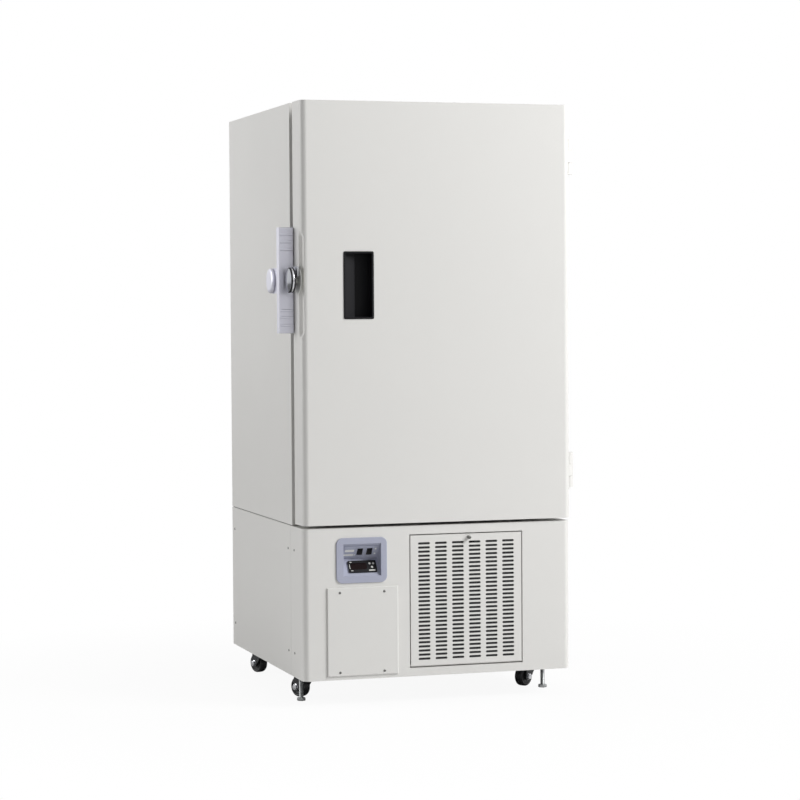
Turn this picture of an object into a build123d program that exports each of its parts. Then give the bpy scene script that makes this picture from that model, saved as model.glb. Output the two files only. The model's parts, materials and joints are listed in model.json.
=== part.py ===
"""Upright ultra low temperature freezer on casters, as an assembly of separate pieces.

Millimetres. +X is to the right of someone facing the freezer, -Y is the front, +Z is up.
The origin is on the floor under the middle of the cabinet.
"""
from build123d import *
import os
from math import hypot

os.makedirs("parts", exist_ok=True)

# Overall sizes
cabinet_width = 742.0
cabinet_depth = 675.0
cabinet_height = 1108.0
base_height = 398.0
base_setback = 7.0
floor_clearance = 70.0
seam = 2.0
door_thickness = 82.0
seal_gap = 30.0
door_floor_gap = 8.0
edge_radius = 17.0
sheet = 1.2
seat = 0.3

# Insulated cabinet
insulation = 120.0
liner_sheet = 1.5
coil_space = 12.0
coil_tube = 9.5
coil_passes = 7
liner_corner = 25.0
collar_wall = 10.0
collar_pocket = 36.0
collar_step = 14.0
step_width = 34.0
mullion_height = 40.0
shelf_count = 3
shelf_sheet = 1.5
shelf_rim = 18.0
shelf_play = 6.0
upright_width = 22.0
upright_depth = 9.0
upright_inset = 70.0

# Inner doors
inner_door_play = 3.0
inner_door_split = 8.0
inner_door_thickness = 28.0
inner_seal = 4.0
inner_pin = 6.0
inner_pin_reach = 7.0
inner_pivot_inset = 7.0

# Main door
door_liner_sheet = 2.0
door_plug_height = 18.0
door_plug_inset = 96.0
gasket_inset = 22.0
gasket_width = 30.0
handle_left = 113.0
handle_width = 82.0
handle_bottom = 942.0
handle_height = 176.0
handle_rim = 5.0
handle_rim_proud = 1.5
handle_wall = 2.5
handle_shelf = 36.0
handle_shelf_depth = 20.0
handle_depth = 45.0
handle_undercut = 9.0
scoop_low = 887.0
scoop_high = 1175.0
scoop_reach = 24.0
scoop_depth = 8.0
scoop_run = 20.0

# Side hinges
hinge_offset = 30.0
knuckle_radius = 14.0
hinge_pin_radius = 6.0
hinge_height = 96.0
hinge_levels = (480.0, 1328.0)
hinge_plate = 4.0
hinge_leaf_reach = 62.0
hinge_slack = 0.5
running_fit = 0.05

# Side latch
latch_level = 1044.0
striker_back = 33.5
striker_radius = 33.0
striker_seat_radius = 36.0
striker_seat = 2.0
striker_neck = 8.0
striker_gap = 14.0
striker_head = 12.0
striker_ring = 4.0
striker_dome = 4.0
bar_front = 71.5
bar_depth = 25.0
bar_width = 38.5
bar_height = 276.0
bar_wall = 3.0
bar_lift = 2.5
rib_levels = (-117.0, -97.0, -78.5, 80.0, 100.0, 120.0)
rib_height = 7.0
rib_proud = 1.8
rib_inset = 2.5
arm_height = 67.0
arm_proud = 23.5
pivot_back = 200.0
stud_radius = 6.0
knob_stud_radius = 4.0
boss_radius = 30.0
claw_sheet = 4.0
claw_lift = 3.0
claw_height = 14.0
claw_rise = 22.0
claw_tooth = 12.5
claw_front = 14.0
claw_tooth_depth = 8.0
latch_knob_radius = 33.0
latch_knob_thickness = 9.5

# Machine base
chassis_recess = 10.0
chassis_sheet = 2.5
chassis_rim = 25.0
post_size = 30.0
post_wall = 2.0
fascia_sheet = 1.5
fascia_return = 122.0
panel_gap = 1.0
vent_left = 293.0
vent_width = 310.0
vent_bottom = 25.0
vent_height = 347.0
vent_gap = 3.0
vent_depth = 12.0
vent_rim = 24.0
vent_lip = 6.5
slot_columns = 6
slot_rows = 29
slot_length = 33.0
slot_height = 6.0
slot_column_pitch = 47.0
slot_row_pitch = 10.9
slot_first_left = 21.0
slot_first_bottom = 17.0
vent_pin_radius = 2.0
vent_knob_level = 338.0
vent_knob_radius = 4.5
vent_knob_length = 12.0
filter_thickness = 7.0
tongue_swing = 17.0
cover_left = 64.0
cover_width = 193.0
cover_bottom = 10.0
cover_height = 232.0
cover_proud = 4.5
cover_screw_x = (34.0, 155.0)
cover_screw_z = (10.0, 219.0)
screw_radius = 3.4
screw_head = 1.6

# Control panel
bezel_left = 89.5
bezel_width = 138.0
bezel_bottom = 253.0
bezel_height = 118.5
bezel_radius = 17.0
bezel_proud = 3.5
bezel_wall = 2.5
recess_width = 102.0
recess_shift = 1.5
recess_bottom = 271.0
recess_height = 84.5
recess_depth = 33.0
recess_crease = 314.0
controller_width = 76.0
controller_height = 35.0
controller_face = 4.0
controller_body_width = 70.0
controller_body_height = 28.0
controller_body_depth = 55.0
controller_offset = 5.0
button_radius = 3.0
button_travel = 0.8
button_proud = 1.2
switch_plate_width = 92.0
switch_plate_height = 38.0
switch_plate_sheet = 1.5
rocker_width = 15.0
rocker_height = 21.0
rocker_depth = 9.0
rocker_throw = 16.0

# Refrigeration machinery
compressor_radius = 78.0
compressor_height = 225.0
compressor_spread = 185.0
compressor_back = 560.0
condenser_width = 300.0
condenser_height = 290.0
condenser_depth = 44.0
fan_radius = 120.0
fan_hub_radius = 26.0
fan_blade_count = 5
fan_clearance = 6.0
exchanger_width = 130.0
exchanger_depth = 150.0
exchanger_height = 250.0
pipe_radius = 4.0

# Casters and levelling feet
caster_x = 317.0
caster_front = 195.0
caster_rear = 659.0
caster_trail = 18.0
wheel_radius = 27.0
wheel_width = 24.0
wheel_bore = 4.0
fork_inner = 15.0
fork_sheet = 3.0
fork_crown = 59.0
fork_angles = {
    "front_left": -62.8,
    "front_right": 34.4,
    "rear_left": -67.6,
    "rear_right": 25.0,
}
foot_x = 342.0
foot_back = 142.0
foot_radius = 6.0
foot_head_radius = 12.0
foot_head_height = 8.0
foot_nut = 10.0

# Places worked out from the sizes
half_width = cabinet_width / 2
door_front = -(door_thickness + seal_gap + cabinet_depth) / 2
door_back = door_front + door_thickness
cabinet_front = door_back + seal_gap
cabinet_back = cabinet_front + cabinet_depth
base_front = door_front + base_setback
base_bottom = floor_clearance
base_top = base_bottom + base_height
cabinet_bottom = base_top + seam
cabinet_top = cabinet_bottom + cabinet_height
door_bottom = base_top + door_floor_gap
door_top = cabinet_top
chassis_floor = base_bottom + chassis_recess
latch_z = base_bottom + latch_level
left = -half_width


def block(x, y, z):
    """A box from three (low, high) pairs."""
    size = [high - low for low, high in (x, y, z)]
    middle = [(high + low) / 2 for low, high in (x, y, z)]
    return Pos(*middle) * Box(*size)


def rod_x(radius, x, y, z):
    """A cylinder along X from x[0] to x[1]."""
    return Pos((x[0] + x[1]) / 2, y, z) * Rot(0, 90, 0) * Cylinder(radius, x[1] - x[0])


def rod_y(radius, x, y, z):
    """A cylinder along Y from y[0] to y[1]."""
    return Pos(x, (y[0] + y[1]) / 2, z) * Rot(90, 0, 0) * Cylinder(radius, y[1] - y[0])


def rod_z(radius, x, y, z):
    """A cylinder along Z from z[0] to z[1]."""
    return Pos(x, y, (z[0] + z[1]) / 2) * Cylinder(radius, z[1] - z[0])


def frame_y(outer_x, outer_z, width, y):
    """A rectangular ring in the XZ plane, with its rails the given width."""
    hole = block(
        (outer_x[0] + width, outer_x[1] - width), y, (outer_z[0] + width, outer_z[1] - width)
    )
    return block(outer_x, y, outer_z) - hole


def round_front(solid, y, radius):
    """Rounds the two upright edges of a box at its front."""
    edges = [
        e
        for e in solid.edges().filter_by(Axis.Z)
        if abs(e.center().Y - y) < 0.01
    ]
    return fillet(edges, radius)


def prism_x(points, x):
    """An outline in the YZ plane run along X."""
    face = make_face(Polyline(*[(x[0], y, z) for y, z in points], close=True))
    return extrude(face, x[1] - x[0], dir=(1, 0, 0))


def prism_z(points, z):
    """An outline in the XY plane run along Z."""
    face = make_face(Polyline(*[(x, y, z[0]) for x, y in points], close=True))
    return extrude(face, z[1] - z[0], dir=(0, 0, 1))


def pipe(points, radii, radius):
    """A round tube solid along straight runs joined by arcs."""
    path = FilletPolyline(*points, radius=radii)
    start = path.location_at(0)
    return sweep(start * Circle(radius), path=path)


def save(name, *solids):
    """Writes one node from one or more separate solids."""
    pieces = []
    for solid in solids:
        pieces.extend(solid.solids())
    shape = pieces[0] if len(pieces) == 1 else Compound(children=pieces)
    export_step(shape, f"parts/{name}.step")


# The insulated cabinet
inner_left = left + insulation
inner_right = -inner_left
inner_low = cabinet_bottom + insulation
inner_high = cabinet_top - insulation
liner_front = cabinet_front + collar_pocket + collar_step
liner_back = cabinet_back - insulation
aperture_left = inner_left - step_width
aperture_low = inner_low - step_width
aperture_high = inner_high + step_width
collar_left = aperture_left - collar_wall
collar_low = aperture_low - collar_wall
collar_high = aperture_high + collar_wall
middle_z = (inner_low + inner_high) / 2
coil_wrap = coil_tube / 2 + seat
coil_back = liner_back + liner_sheet + coil_wrap
coil_return = coil_back + coil_tube + 2
pipe_drop_x = 60.0
coil_ends = ((-pipe_drop_x, coil_back), (pipe_drop_x, coil_return))


def outer_shell():
    """Folded steel sheets: two sides, top, bottom and back, with a front face round the opening."""
    y = (cabinet_front, cabinet_back - sheet)
    face_y = (cabinet_front, cabinet_front + sheet)
    body_z = (cabinet_bottom, cabinet_top)
    sheets = []
    for side in (-1, 1):
        wall = block(sorted((side * half_width, side * (half_width - sheet))), y, body_z)
        wall += block(sorted((side * half_width, -side * collar_left)), face_y, body_z)
        sheets.append(wall)
    middle_x = (left + sheet, half_width - sheet)
    middle_y = (cabinet_front + sheet, cabinet_back - sheet)
    roof = block(middle_x, middle_y, (cabinet_top - sheet, cabinet_top))
    roof += block((collar_left, -collar_left), face_y, (collar_high, cabinet_top))
    floor = block(middle_x, middle_y, (cabinet_bottom, cabinet_bottom + sheet))
    floor += block((collar_left, -collar_left), face_y, (cabinet_bottom, collar_low))
    for x, y_end in coil_ends:
        floor -= rod_z(coil_tube, x, y_end, (cabinet_bottom - 1, cabinet_bottom + 2 * sheet))
    back = block((left, half_width), (cabinet_back - sheet, cabinet_back), body_z)
    back -= rod_y(port_radius + seat, port_x, (cabinet_back - 2 * sheet, cabinet_back + 1), port_z)
    return sheets + [roof, floor, back]


def coil_path():
    """One tube that zigzags round the two sides and the back of the liner."""
    x_far = inner_right + liner_sheet + coil_wrap
    y_far = coil_back
    y_near = liner_front + 40
    pitch = (inner_high - inner_low - 120) / (coil_passes - 1)
    z = inner_low + 60
    points = [(-pipe_drop_x, y_far, cabinet_bottom - 25), (-pipe_drop_x, y_far, z)]
    side = 1
    points.append((side * x_far, y_far, z))
    for turn in range(coil_passes - 1):
        points.append((side * x_far, y_near, z))
        z += pitch
        points.append((side * x_far, y_near, z))
        points.append((side * x_far, y_far, z))
        if turn < coil_passes - 2:
            side = -side
            points.append((side * x_far, y_far, z))
    return points


def evaporator_coil():
    """The cold coil. It wraps the steel tank inside the insulation."""
    points = coil_path()
    last = points[-1]
    points.append((pipe_drop_x, coil_back, last[2]))
    points.append((pipe_drop_x, coil_return, last[2]))
    points.append((pipe_drop_x, coil_return, cabinet_bottom - 25))
    radii = [liner_corner + coil_wrap] * (len(points) - 2)
    radii[-2:] = [(coil_return - coil_back) / 2 - running_fit] * 2
    return pipe(points, radii, coil_tube / 2)


port_radius = 14.0
port_x = -150.0
port_z = middle_z + 150


def cabinet_foam():
    """Foamed-in insulation between the steel shell and the tank, with room for the coil."""
    foam = block(
        (left + sheet, half_width - sheet),
        (cabinet_front + sheet, cabinet_back - sheet),
        (cabinet_bottom + sheet, cabinet_top - sheet),
    )
    foam -= block(
        (inner_left - liner_sheet - coil_space, inner_right + liner_sheet + coil_space),
        (liner_front, liner_back + liner_sheet + coil_space),
        (inner_low - liner_sheet, inner_high + liner_sheet),
    )
    foam -= block(
        (collar_left, -collar_left), (cabinet_front, liner_front), (collar_low, collar_high)
    )
    pipe_room = coil_space / 2 + 1
    for x in (-pipe_drop_x, pipe_drop_x):
        foam -= block(
            (x - pipe_room, x + pipe_room),
            (liner_back, liner_back + liner_sheet + 2.6 * coil_space),
            (cabinet_bottom, inner_high + liner_sheet),
        )
    foam -= rod_y(port_radius, port_x, (liner_back, cabinet_back), port_z)
    return foam


def inner_liner():
    """The folded steel tank, open at the front, with a rounded fold at each back corner."""
    outer = block(
        (inner_left - liner_sheet, inner_right + liner_sheet),
        (liner_front, liner_back + liner_sheet),
        (inner_low - liner_sheet, inner_high + liner_sheet),
    )
    back_edges = [
        e for e in outer.edges().filter_by(Axis.Z) if e.center().Y > liner_back
    ]
    outer = fillet(back_edges, liner_corner)
    room = block(
        (inner_left, inner_right), (liner_front - 1, liner_back), (inner_low, inner_high)
    )
    back_edges = [
        e for e in room.edges().filter_by(Axis.Z) if e.center().Y > liner_back - 1
    ]
    room = fillet(back_edges, liner_corner - liner_sheet)
    return outer - room - rod_y(port_radius + seat, port_x, (liner_back - 1, cabinet_back), port_z)


def opening_collar():
    """Moulded frame round the opening: a pocket for the inner doors, a step, a cross bar and pins."""
    y = (cabinet_front, liner_front)
    ring = block((collar_left, -collar_left), y, (collar_low, collar_high))
    ring -= block(
        (aperture_left, -aperture_left),
        (cabinet_front - 1, cabinet_front + collar_pocket),
        (aperture_low, aperture_high),
    )
    ring -= block((inner_left, inner_right), (cabinet_front, liner_front + 1), (inner_low, inner_high))
    ring += block(
        (inner_left, inner_right),
        (cabinet_front + collar_pocket, liner_front),
        (middle_z - mullion_height / 2, middle_z + mullion_height / 2),
    )
    pin_x, pin_y = inner_pivot
    lug_y = (cabinet_front + 2, cabinet_front + collar_pocket)
    lug_half = (inner_door_split - 4) / 2
    ring += block(
        (pin_x - 8, -aperture_left), lug_y, (middle_z - lug_half, middle_z + lug_half)
    )
    end_reach = inner_door_play + inner_pin_reach
    middle_reach = inner_door_split / 2 + inner_pin_reach
    for z in (
        (aperture_low - 1, aperture_low + end_reach),
        (middle_z - middle_reach, middle_z + middle_reach),
        (aperture_high - end_reach, aperture_high + 1),
    ):
        ring += rod_z(inner_pin / 2, pin_x, pin_y, z)
    return ring


inner_pivot = (
    -aperture_left - inner_door_play - inner_pivot_inset,
    cabinet_front + inner_door_play + inner_pivot_inset,
)


def inner_door(low, high):
    """One inner door: an insulated panel with a rim, a finger recess and a rubber seal behind."""
    x = (aperture_left + inner_door_play, -aperture_left - inner_door_play)
    y_front = cabinet_front + inner_door_play
    y_back = y_front + inner_door_thickness
    panel = block(x, (y_front, y_back), (low, high))
    hinge_edge = [
        e
        for e in panel.edges().filter_by(Axis.Z)
        if e.center().X > 0 and abs(e.center().Y - y_front) < 0.01
    ]
    panel = fillet(hinge_edge, inner_pivot_inset)
    rim = 22
    panel -= block(
        (x[0] + rim, x[1] - 2 * rim), (y_front - 1, y_front + 3), (low + rim, high - rim)
    )
    recess_z = (low + high) / 2
    panel -= block(
        (x[0] + rim + 12, x[0] + rim + 32),
        (y_front - 1, y_front + 16),
        (recess_z - 45, recess_z + 45),
    )
    pin_x, pin_y = inner_pivot
    hole = inner_pin / 2 + running_fit
    depth = inner_pin_reach + 1.5
    panel -= rod_z(hole, pin_x, pin_y, (low - 1, low + depth))
    panel -= rod_z(hole, pin_x, pin_y, (high - depth, high + 1))
    seal_x = (inner_left - step_width + 8, inner_right + step_width - 20)
    seal_end = cabinet_front + collar_pocket - seat
    seal = frame_y(seal_x, (low + 4, high - 4), 12, (y_back, seal_end))
    return panel, seal


def shelf(z):
    """One steel shelf: a folded tray turned down at its four sides."""
    x = (inner_left + shelf_play + upright_depth, inner_right - shelf_play - upright_depth)
    y = (liner_front + 14, liner_back - shelf_play - 4)
    tray = block(x, y, (z - shelf_rim, z))
    tray = fillet(tray.edges().filter_by(Axis.Z), 6)
    hollow = block(
        (x[0] + shelf_sheet, x[1] - shelf_sheet),
        (y[0] + shelf_sheet, y[1] - shelf_sheet),
        (z - shelf_rim - 1, z - shelf_sheet),
    )
    return tray - fillet(hollow.edges().filter_by(Axis.Z), 6 - shelf_sheet)


def shelf_levels():
    """Heights of the shelf tops, evenly spread, the middle one at the cross bar."""
    pitch = (inner_high - inner_low) / (shelf_count + 1)
    return [inner_low + pitch * (i + 1) for i in range(shelf_count)]


def shelf_uprights():
    """Four slotted uprights on the tank's sides and the clips that carry the shelves."""
    pieces = []
    slot_pitch = 26.0
    for side in (-1, 1):
        wall = side * inner_right
        face = wall - side * upright_depth
        x = (min(wall, face), max(wall, face))
        for y_mid in (liner_front + upright_inset, liner_back - upright_inset):
            strip = block(
                x,
                (y_mid - upright_width / 2, y_mid + upright_width / 2),
                (inner_low + 20, inner_high - 20),
            )
            groove_x = (wall, wall - side * (upright_depth - 2))
            strip -= block(
                (min(groove_x), max(groove_x)),
                (y_mid - upright_width / 2 + 2, y_mid + upright_width / 2 - 2),
                (inner_low + 19, inner_high - 19),
            )
            pieces.append(strip)
            clip_end = face - side * 22
            for level in shelf_levels():
                top = level - shelf_rim
                pieces.append(
                    block(
                        (min(face, clip_end), max(face, clip_end)),
                        (y_mid - 9, y_mid + 9),
                        (top - 4, top),
                    )
                )
    return pieces


def access_port():
    """Sleeve through the back wall for probes, with its flange and stopper."""
    back = cabinet_back
    sleeve = rod_y(port_radius, port_x, (liner_back - 6, back + 3), port_z)
    sleeve += rod_y(port_radius + 10, port_x, (back, back + 3), port_z)
    sleeve -= rod_y(port_radius - 3, port_x, (liner_back - 10, back + 10), port_z)
    plug = rod_y(port_radius - 3.2, port_x, (liner_back - 4, back + 3), port_z)
    plug += rod_y(port_radius + 4, port_x, (back + 3, back + 7), port_z)
    return sleeve, plug


# The main door
door_x = (left, half_width)
door_z = (door_bottom, door_top)


def scoop():
    """What is cut from the door's front left edge beside the latch."""
    low = base_bottom + scoop_low
    high = base_bottom + scoop_high
    back = door_front + scoop_reach
    deep = left + scoop_depth

    def outline(z):
        return make_face(
            Polyline(
                (left - 5, door_front - 5, z),
                (deep, door_front - 5, z),
                (deep, door_front + scoop_reach * 0.75, z),
                (left, back, z),
                (left - 5, back, z),
                close=True,
            )
        )

    def thin(z):
        return make_face(
            Polyline(
                (left - 5, door_front - 5, z),
                (left - 1, door_front - 5, z),
                (left - 1, door_front + scoop_reach * 0.75, z),
                (left - 1.2, back, z),
                (left - 5, back, z),
                close=True,
            )
        )

    body = extrude(outline(low + scoop_run), high - low - 2 * scoop_run, dir=(0, 0, 1))
    body += loft([thin(low), outline(low + scoop_run)])
    body += loft([outline(high - scoop_run), thin(high)])
    return body


def door_form(inset):
    """The door's outside form, or the space inside its sheet."""
    form = block(
        (left + inset, half_width - inset),
        (door_front + inset, door_back),
        (door_bottom + inset, door_top - inset),
    )
    form = round_front(form, door_front + inset, edge_radius - inset)
    return form - Pos(inset, inset, 0) * scoop()


def door_plug(inset):
    """The raised middle of the door's inner face, with sloped sides."""
    back = door_back + door_plug_height - inset
    width = cabinet_width - 2 * door_plug_inset - 2 * inset
    height = door_top - door_bottom - 2 * door_plug_inset - 2 * inset
    middle = (door_bottom + door_top) / 2
    base = Plane(origin=(0, door_back - door_liner_sheet, middle), x_dir=(1, 0, 0), z_dir=(0, 1, 0))
    top = Plane(origin=(0, back, middle), x_dir=(1, 0, 0), z_dir=(0, 1, 0))
    slope = 14
    return loft(
        [base * RectangleRounded(width, height, 20), top * RectangleRounded(width - slope, height - slope, 16)]
    )


def handle_outline(grow):
    """The handle cup's section seen from above: a shallow shelf, then a deep pocket with a lip."""
    x0 = left + handle_left + handle_rim - grow
    x1 = left + handle_left + handle_width - handle_rim + grow
    step = left + handle_left + handle_shelf - grow
    y0 = door_front
    return [
        (x0, y0 - 6 + grow * 2),
        (x1, y0 - 6 + grow * 2),
        (x1, y0 + 5 - grow),
        (x1 + handle_undercut, y0 + 11 - grow),
        (x1 + handle_undercut, y0 + handle_depth + grow),
        (step, y0 + handle_depth + grow),
        (step, y0 + handle_shelf_depth + grow),
        (x0, y0 + 8 + grow),
    ]


handle_z = (
    base_bottom + handle_bottom + handle_rim,
    base_bottom + handle_bottom + handle_height - handle_rim,
)


def handle_room(grow):
    """The space that the handle cup's walls fill, or with no growth its hollow."""
    return prism_z(handle_outline(grow), (handle_z[0] - grow, handle_z[1] + grow))


def handle_cup():
    """Moulded pull handle let into the door's front."""
    x = (left + handle_left, left + handle_left + handle_width)
    z = (base_bottom + handle_bottom, base_bottom + handle_bottom + handle_height)
    rim = block(x, (door_front - handle_rim_proud, door_front), z)
    rim = fillet(rim.edges().filter_by(Axis.Y), 4)
    walls = handle_room(handle_wall) & block(
        (x[0] - 50, x[1] + 50), (door_front, door_back), (z[0] - 5, z[1] + 5)
    )
    return rim + walls - handle_room(0)


def door_skin():
    """The door's outer steel pan."""
    skin = door_form(0) - door_form(sheet)
    return skin - block(
        (left + handle_left + handle_rim - handle_wall, left + handle_left + handle_width - handle_rim + handle_wall),
        (door_front - 1, door_front + 2 * sheet),
        (handle_z[0] - handle_wall, handle_z[1] + handle_wall),
    )


def door_foam():
    """The door's foamed core. It fills the pan and the raised plug behind it."""
    core = door_form(sheet) & block(
        (left, half_width), (door_front, door_back - door_liner_sheet), (door_bottom, door_top)
    )
    core += door_plug(door_liner_sheet)
    return core - handle_room(handle_wall)


def door_liner():
    """The moulded inner face of the door."""
    plate = block(
        (left + sheet, half_width - sheet),
        (door_back - door_liner_sheet, door_back),
        (door_bottom + sheet, door_top - sheet),
    )
    return plate + door_plug(0) - door_plug(door_liner_sheet)


def door_gasket():
    """Soft frame seal between the door and the cabinet, with a foot, a web and a wide lip."""
    x = (left + gasket_inset, half_width - gasket_inset)
    z = (door_bottom + gasket_inset, door_top - gasket_inset)
    foot_end = door_back + 7
    lip_start = cabinet_front - 9
    seal = frame_y(x, z, gasket_width - 4, (door_back, foot_end))
    web = 8
    seal += frame_y(
        (x[0] + web, x[1] - web), (z[0] + web, z[1] - web), gasket_width - 18, (foot_end, lip_start)
    )
    return seal + frame_y(x, z, gasket_width, (lip_start, cabinet_front - seat))


# Hinges
hinge_x = half_width + hinge_offset
hinge_y = (door_back + cabinet_front) / 2


def hinge_parts():
    """Both side hinges: cabinet leaves with their pins, and door leaves."""
    cabinet_pieces = []
    door_pieces = []
    third = hinge_height / 3
    for level in hinge_levels:
        low = base_bottom + level
        high = low + hinge_height
        plate_x = (half_width, half_width + hinge_plate)
        fixed = block(
            plate_x, (cabinet_front + 6, cabinet_front + hinge_leaf_reach), (low, high)
        )
        fixed = fillet(fixed.edges().filter_by(Axis.X), 5)
        moving = block(plate_x, (door_back - hinge_leaf_reach, door_back - 6), (low, high))
        moving = fillet(moving.edges().filter_by(Axis.X), 5)
        for z in ((low, low + third - hinge_slack), (high - third + hinge_slack, high)):
            fixed += rod_z(knuckle_radius, hinge_x, hinge_y, z)
            fixed += prism_z(hinge_web(1), z)
        z = (low + third, high - third)
        moving += rod_z(knuckle_radius, hinge_x, hinge_y, z)
        moving += prism_z(hinge_web(-1), z)
        bore = hinge_pin_radius + running_fit
        moving -= rod_z(bore, hinge_x, hinge_y, (low - 1, high + 1))
        fixed += rod_z(hinge_pin_radius, hinge_x, hinge_y, (low, high))
        cabinet_pieces.append(fixed)
        door_pieces.append(moving)
    return cabinet_pieces, door_pieces


def hinge_web(side):
    """The strap that joins a knuckle to its leaf, drawn for the cabinet (1) or the door (-1)."""
    near = cabinet_front + 6 if side > 0 else door_back - 6
    far = near + side * 26
    return [
        (half_width + hinge_plate - 1, near),
        (half_width + hinge_plate - 1, far),
        (half_width + hinge_plate + 2, far),
        (hinge_x + 6, hinge_y + side * 12),
        (hinge_x - 4, hinge_y + side * 4),
        (half_width + hinge_plate + 8, near),
    ]


# Latch on the left side
striker_y = door_front + striker_back
pivot_y = door_front + pivot_back
bar_y = (door_front + bar_front, door_front + bar_front + bar_depth)
bar_x = (left - bar_lift - bar_width, left - bar_lift)
bar_z = (latch_z - bar_height / 2, latch_z + bar_height / 2)
arm_x = (left - bar_lift - arm_proud, left - bar_lift)
arm_z = (latch_z - arm_height / 2, latch_z + arm_height / 2)
claw_x = (left - claw_lift - claw_sheet, left - claw_lift)
claw_z = (latch_z + claw_rise, latch_z + claw_rise + claw_height)
knob_x = (arm_x[0] - seat - latch_knob_thickness, arm_x[0] - seat)


def striker():
    """Striker on the door's side: a neck on a round seat, and a domed head with a bright ring."""
    head_end = left - striker_gap - striker_head
    neck = rod_x(striker_neck, (left - striker_gap, left), striker_y, latch_z)
    seat_cone = Pos(left - striker_seat, striker_y, latch_z) * Rot(0, 90, 0) * Cone(
        striker_radius, striker_seat_radius, striker_seat, align=(Align.CENTER, Align.CENTER, Align.MIN)
    )
    head = rod_x(striker_radius, (head_end, left - striker_gap), striker_y, latch_z)
    dome_radius = (striker_radius ** 2 + striker_dome ** 2) / (2 * striker_dome)
    dome = Pos(head_end - striker_dome + dome_radius, striker_y, latch_z) * Sphere(dome_radius)
    dome &= rod_x(striker_radius, (head_end - 2 * striker_dome, head_end), striker_y, latch_z)
    ring_mid = left - striker_gap - striker_head / 2
    ring_x = (ring_mid - striker_ring / 2, ring_mid + striker_ring / 2)
    ring = rod_x(striker_radius + 0.4, ring_x, striker_y, latch_z)
    ring -= rod_x(striker_radius - 3, ring_x, striker_y, latch_z)
    return neck + seat_cone, head + dome - ring, ring


def latch_base():
    """Round boss on the cabinet's side with the stepped stud that carries the latch."""
    boss = rod_x(boss_radius, (left - bar_lift + 0.5, left), pivot_y, latch_z)
    stud = rod_x(stud_radius, (arm_x[0], left), pivot_y, latch_z)
    return boss + stud + rod_x(knob_stud_radius, (knob_x[0] + 3, left), pivot_y, latch_z)


def latch_lever():
    """T-shaped latch handle: a ribbed upright bar on an arm that turns about the stud."""
    bar = block(bar_x, bar_y, bar_z)
    bar = fillet(bar.edges().filter_by(Axis.X), 3)
    wall = bar_wall
    bar -= block(
        (bar_x[0] + wall, bar_x[1] + 1),
        (bar_y[0] + wall, bar_y[1] - wall),
        (bar_z[0] + wall, bar_z[1] - wall),
    )
    arm = block(arm_x, (bar_y[1], pivot_y), arm_z)
    arm += rod_x(arm_height / 2, arm_x, pivot_y, latch_z)
    arm -= block(
        (arm_x[0] + wall, arm_x[1] + 1),
        (bar_y[1] + wall, pivot_y - stud_radius - 2 * wall),
        (arm_z[0] + wall, arm_z[1] - wall),
    )
    lever = bar + arm
    lever -= block(
        (claw_x[0] - seat, bar_x[1] + 1),
        (bar_y[0] - 1, bar_y[0] + wall + 1),
        (claw_z[0], claw_z[1]),
    )
    lever -= rod_x(stud_radius + running_fit, (arm_x[0] - 1, arm_x[1] + 1), pivot_y, latch_z)
    for level in rib_levels:
        lever += raised_rib(latch_z + level)
    return lever


def raised_rib(z):
    """One finger rib: a low bar with a rounded left end on the handle's front."""
    half = rib_height / 2
    x = (bar_x[0] + rib_inset + half, bar_x[1])
    y = (bar_y[0] - rib_proud, bar_y[0])
    rib = block(x, y, (z - half, z + half)) + rod_y(half, x[0], y, z)
    rim = [e for e in rib.edges() if abs(e.center().Y - y[0]) < 0.01]
    return chamfer(rim, 1.2)


def latch_claw():
    """Steel hook fixed in the lever. It drops in front of the striker's neck when closed."""
    tooth_y = (door_front + claw_front, door_front + claw_front + claw_tooth_depth)
    claw = block(claw_x, (tooth_y[0], bar_y[1] - bar_wall), claw_z)
    return claw + block(claw_x, tooth_y, (claw_z[0] - claw_tooth, claw_z[0]))


def latch_knob():
    """Round turning knob on the stud's end."""
    knob = rod_x(latch_knob_radius, knob_x, pivot_y, latch_z)
    crown = knob.edges().filter_by(GeomType.CIRCLE).sort_by(Axis.X)[0]
    knob = fillet(crown, 4.5)
    return knob - rod_x(knob_stud_radius + running_fit, (knob_x[0] + 2.5, knob_x[1] + 1), pivot_y, latch_z)


# The machine base
foot_y = door_front + foot_back
chassis_z = (chassis_floor, chassis_floor + chassis_sheet)
chassis_x = (left + fascia_sheet + seat, half_width - fascia_sheet - seat)
chassis_y = (base_front + fascia_sheet + seat, cabinet_back - sheet - seat)
vent_x = (left + vent_left, left + vent_left + vent_width)
vent_z = (base_bottom + vent_bottom, base_bottom + vent_bottom + vent_height)
bezel_x = (left + bezel_left, left + bezel_left + bezel_width)
bezel_z = (base_bottom + bezel_bottom, base_bottom + bezel_bottom + bezel_height)
recess_mid_x = (bezel_x[0] + bezel_x[1]) / 2 + recess_shift
recess_x = (recess_mid_x - recess_width / 2, recess_mid_x + recess_width / 2)
recess_z = (base_bottom + recess_bottom, base_bottom + recess_bottom + recess_height)
crease = (base_front + recess_depth, base_bottom + recess_crease)
cover_x = (left + cover_left, left + cover_left + cover_width)
cover_z = (base_bottom + cover_bottom, base_bottom + cover_bottom + cover_height)
post_y = (foot_y + 20, chassis_y[1] - chassis_sheet - 2 - post_size)


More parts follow.
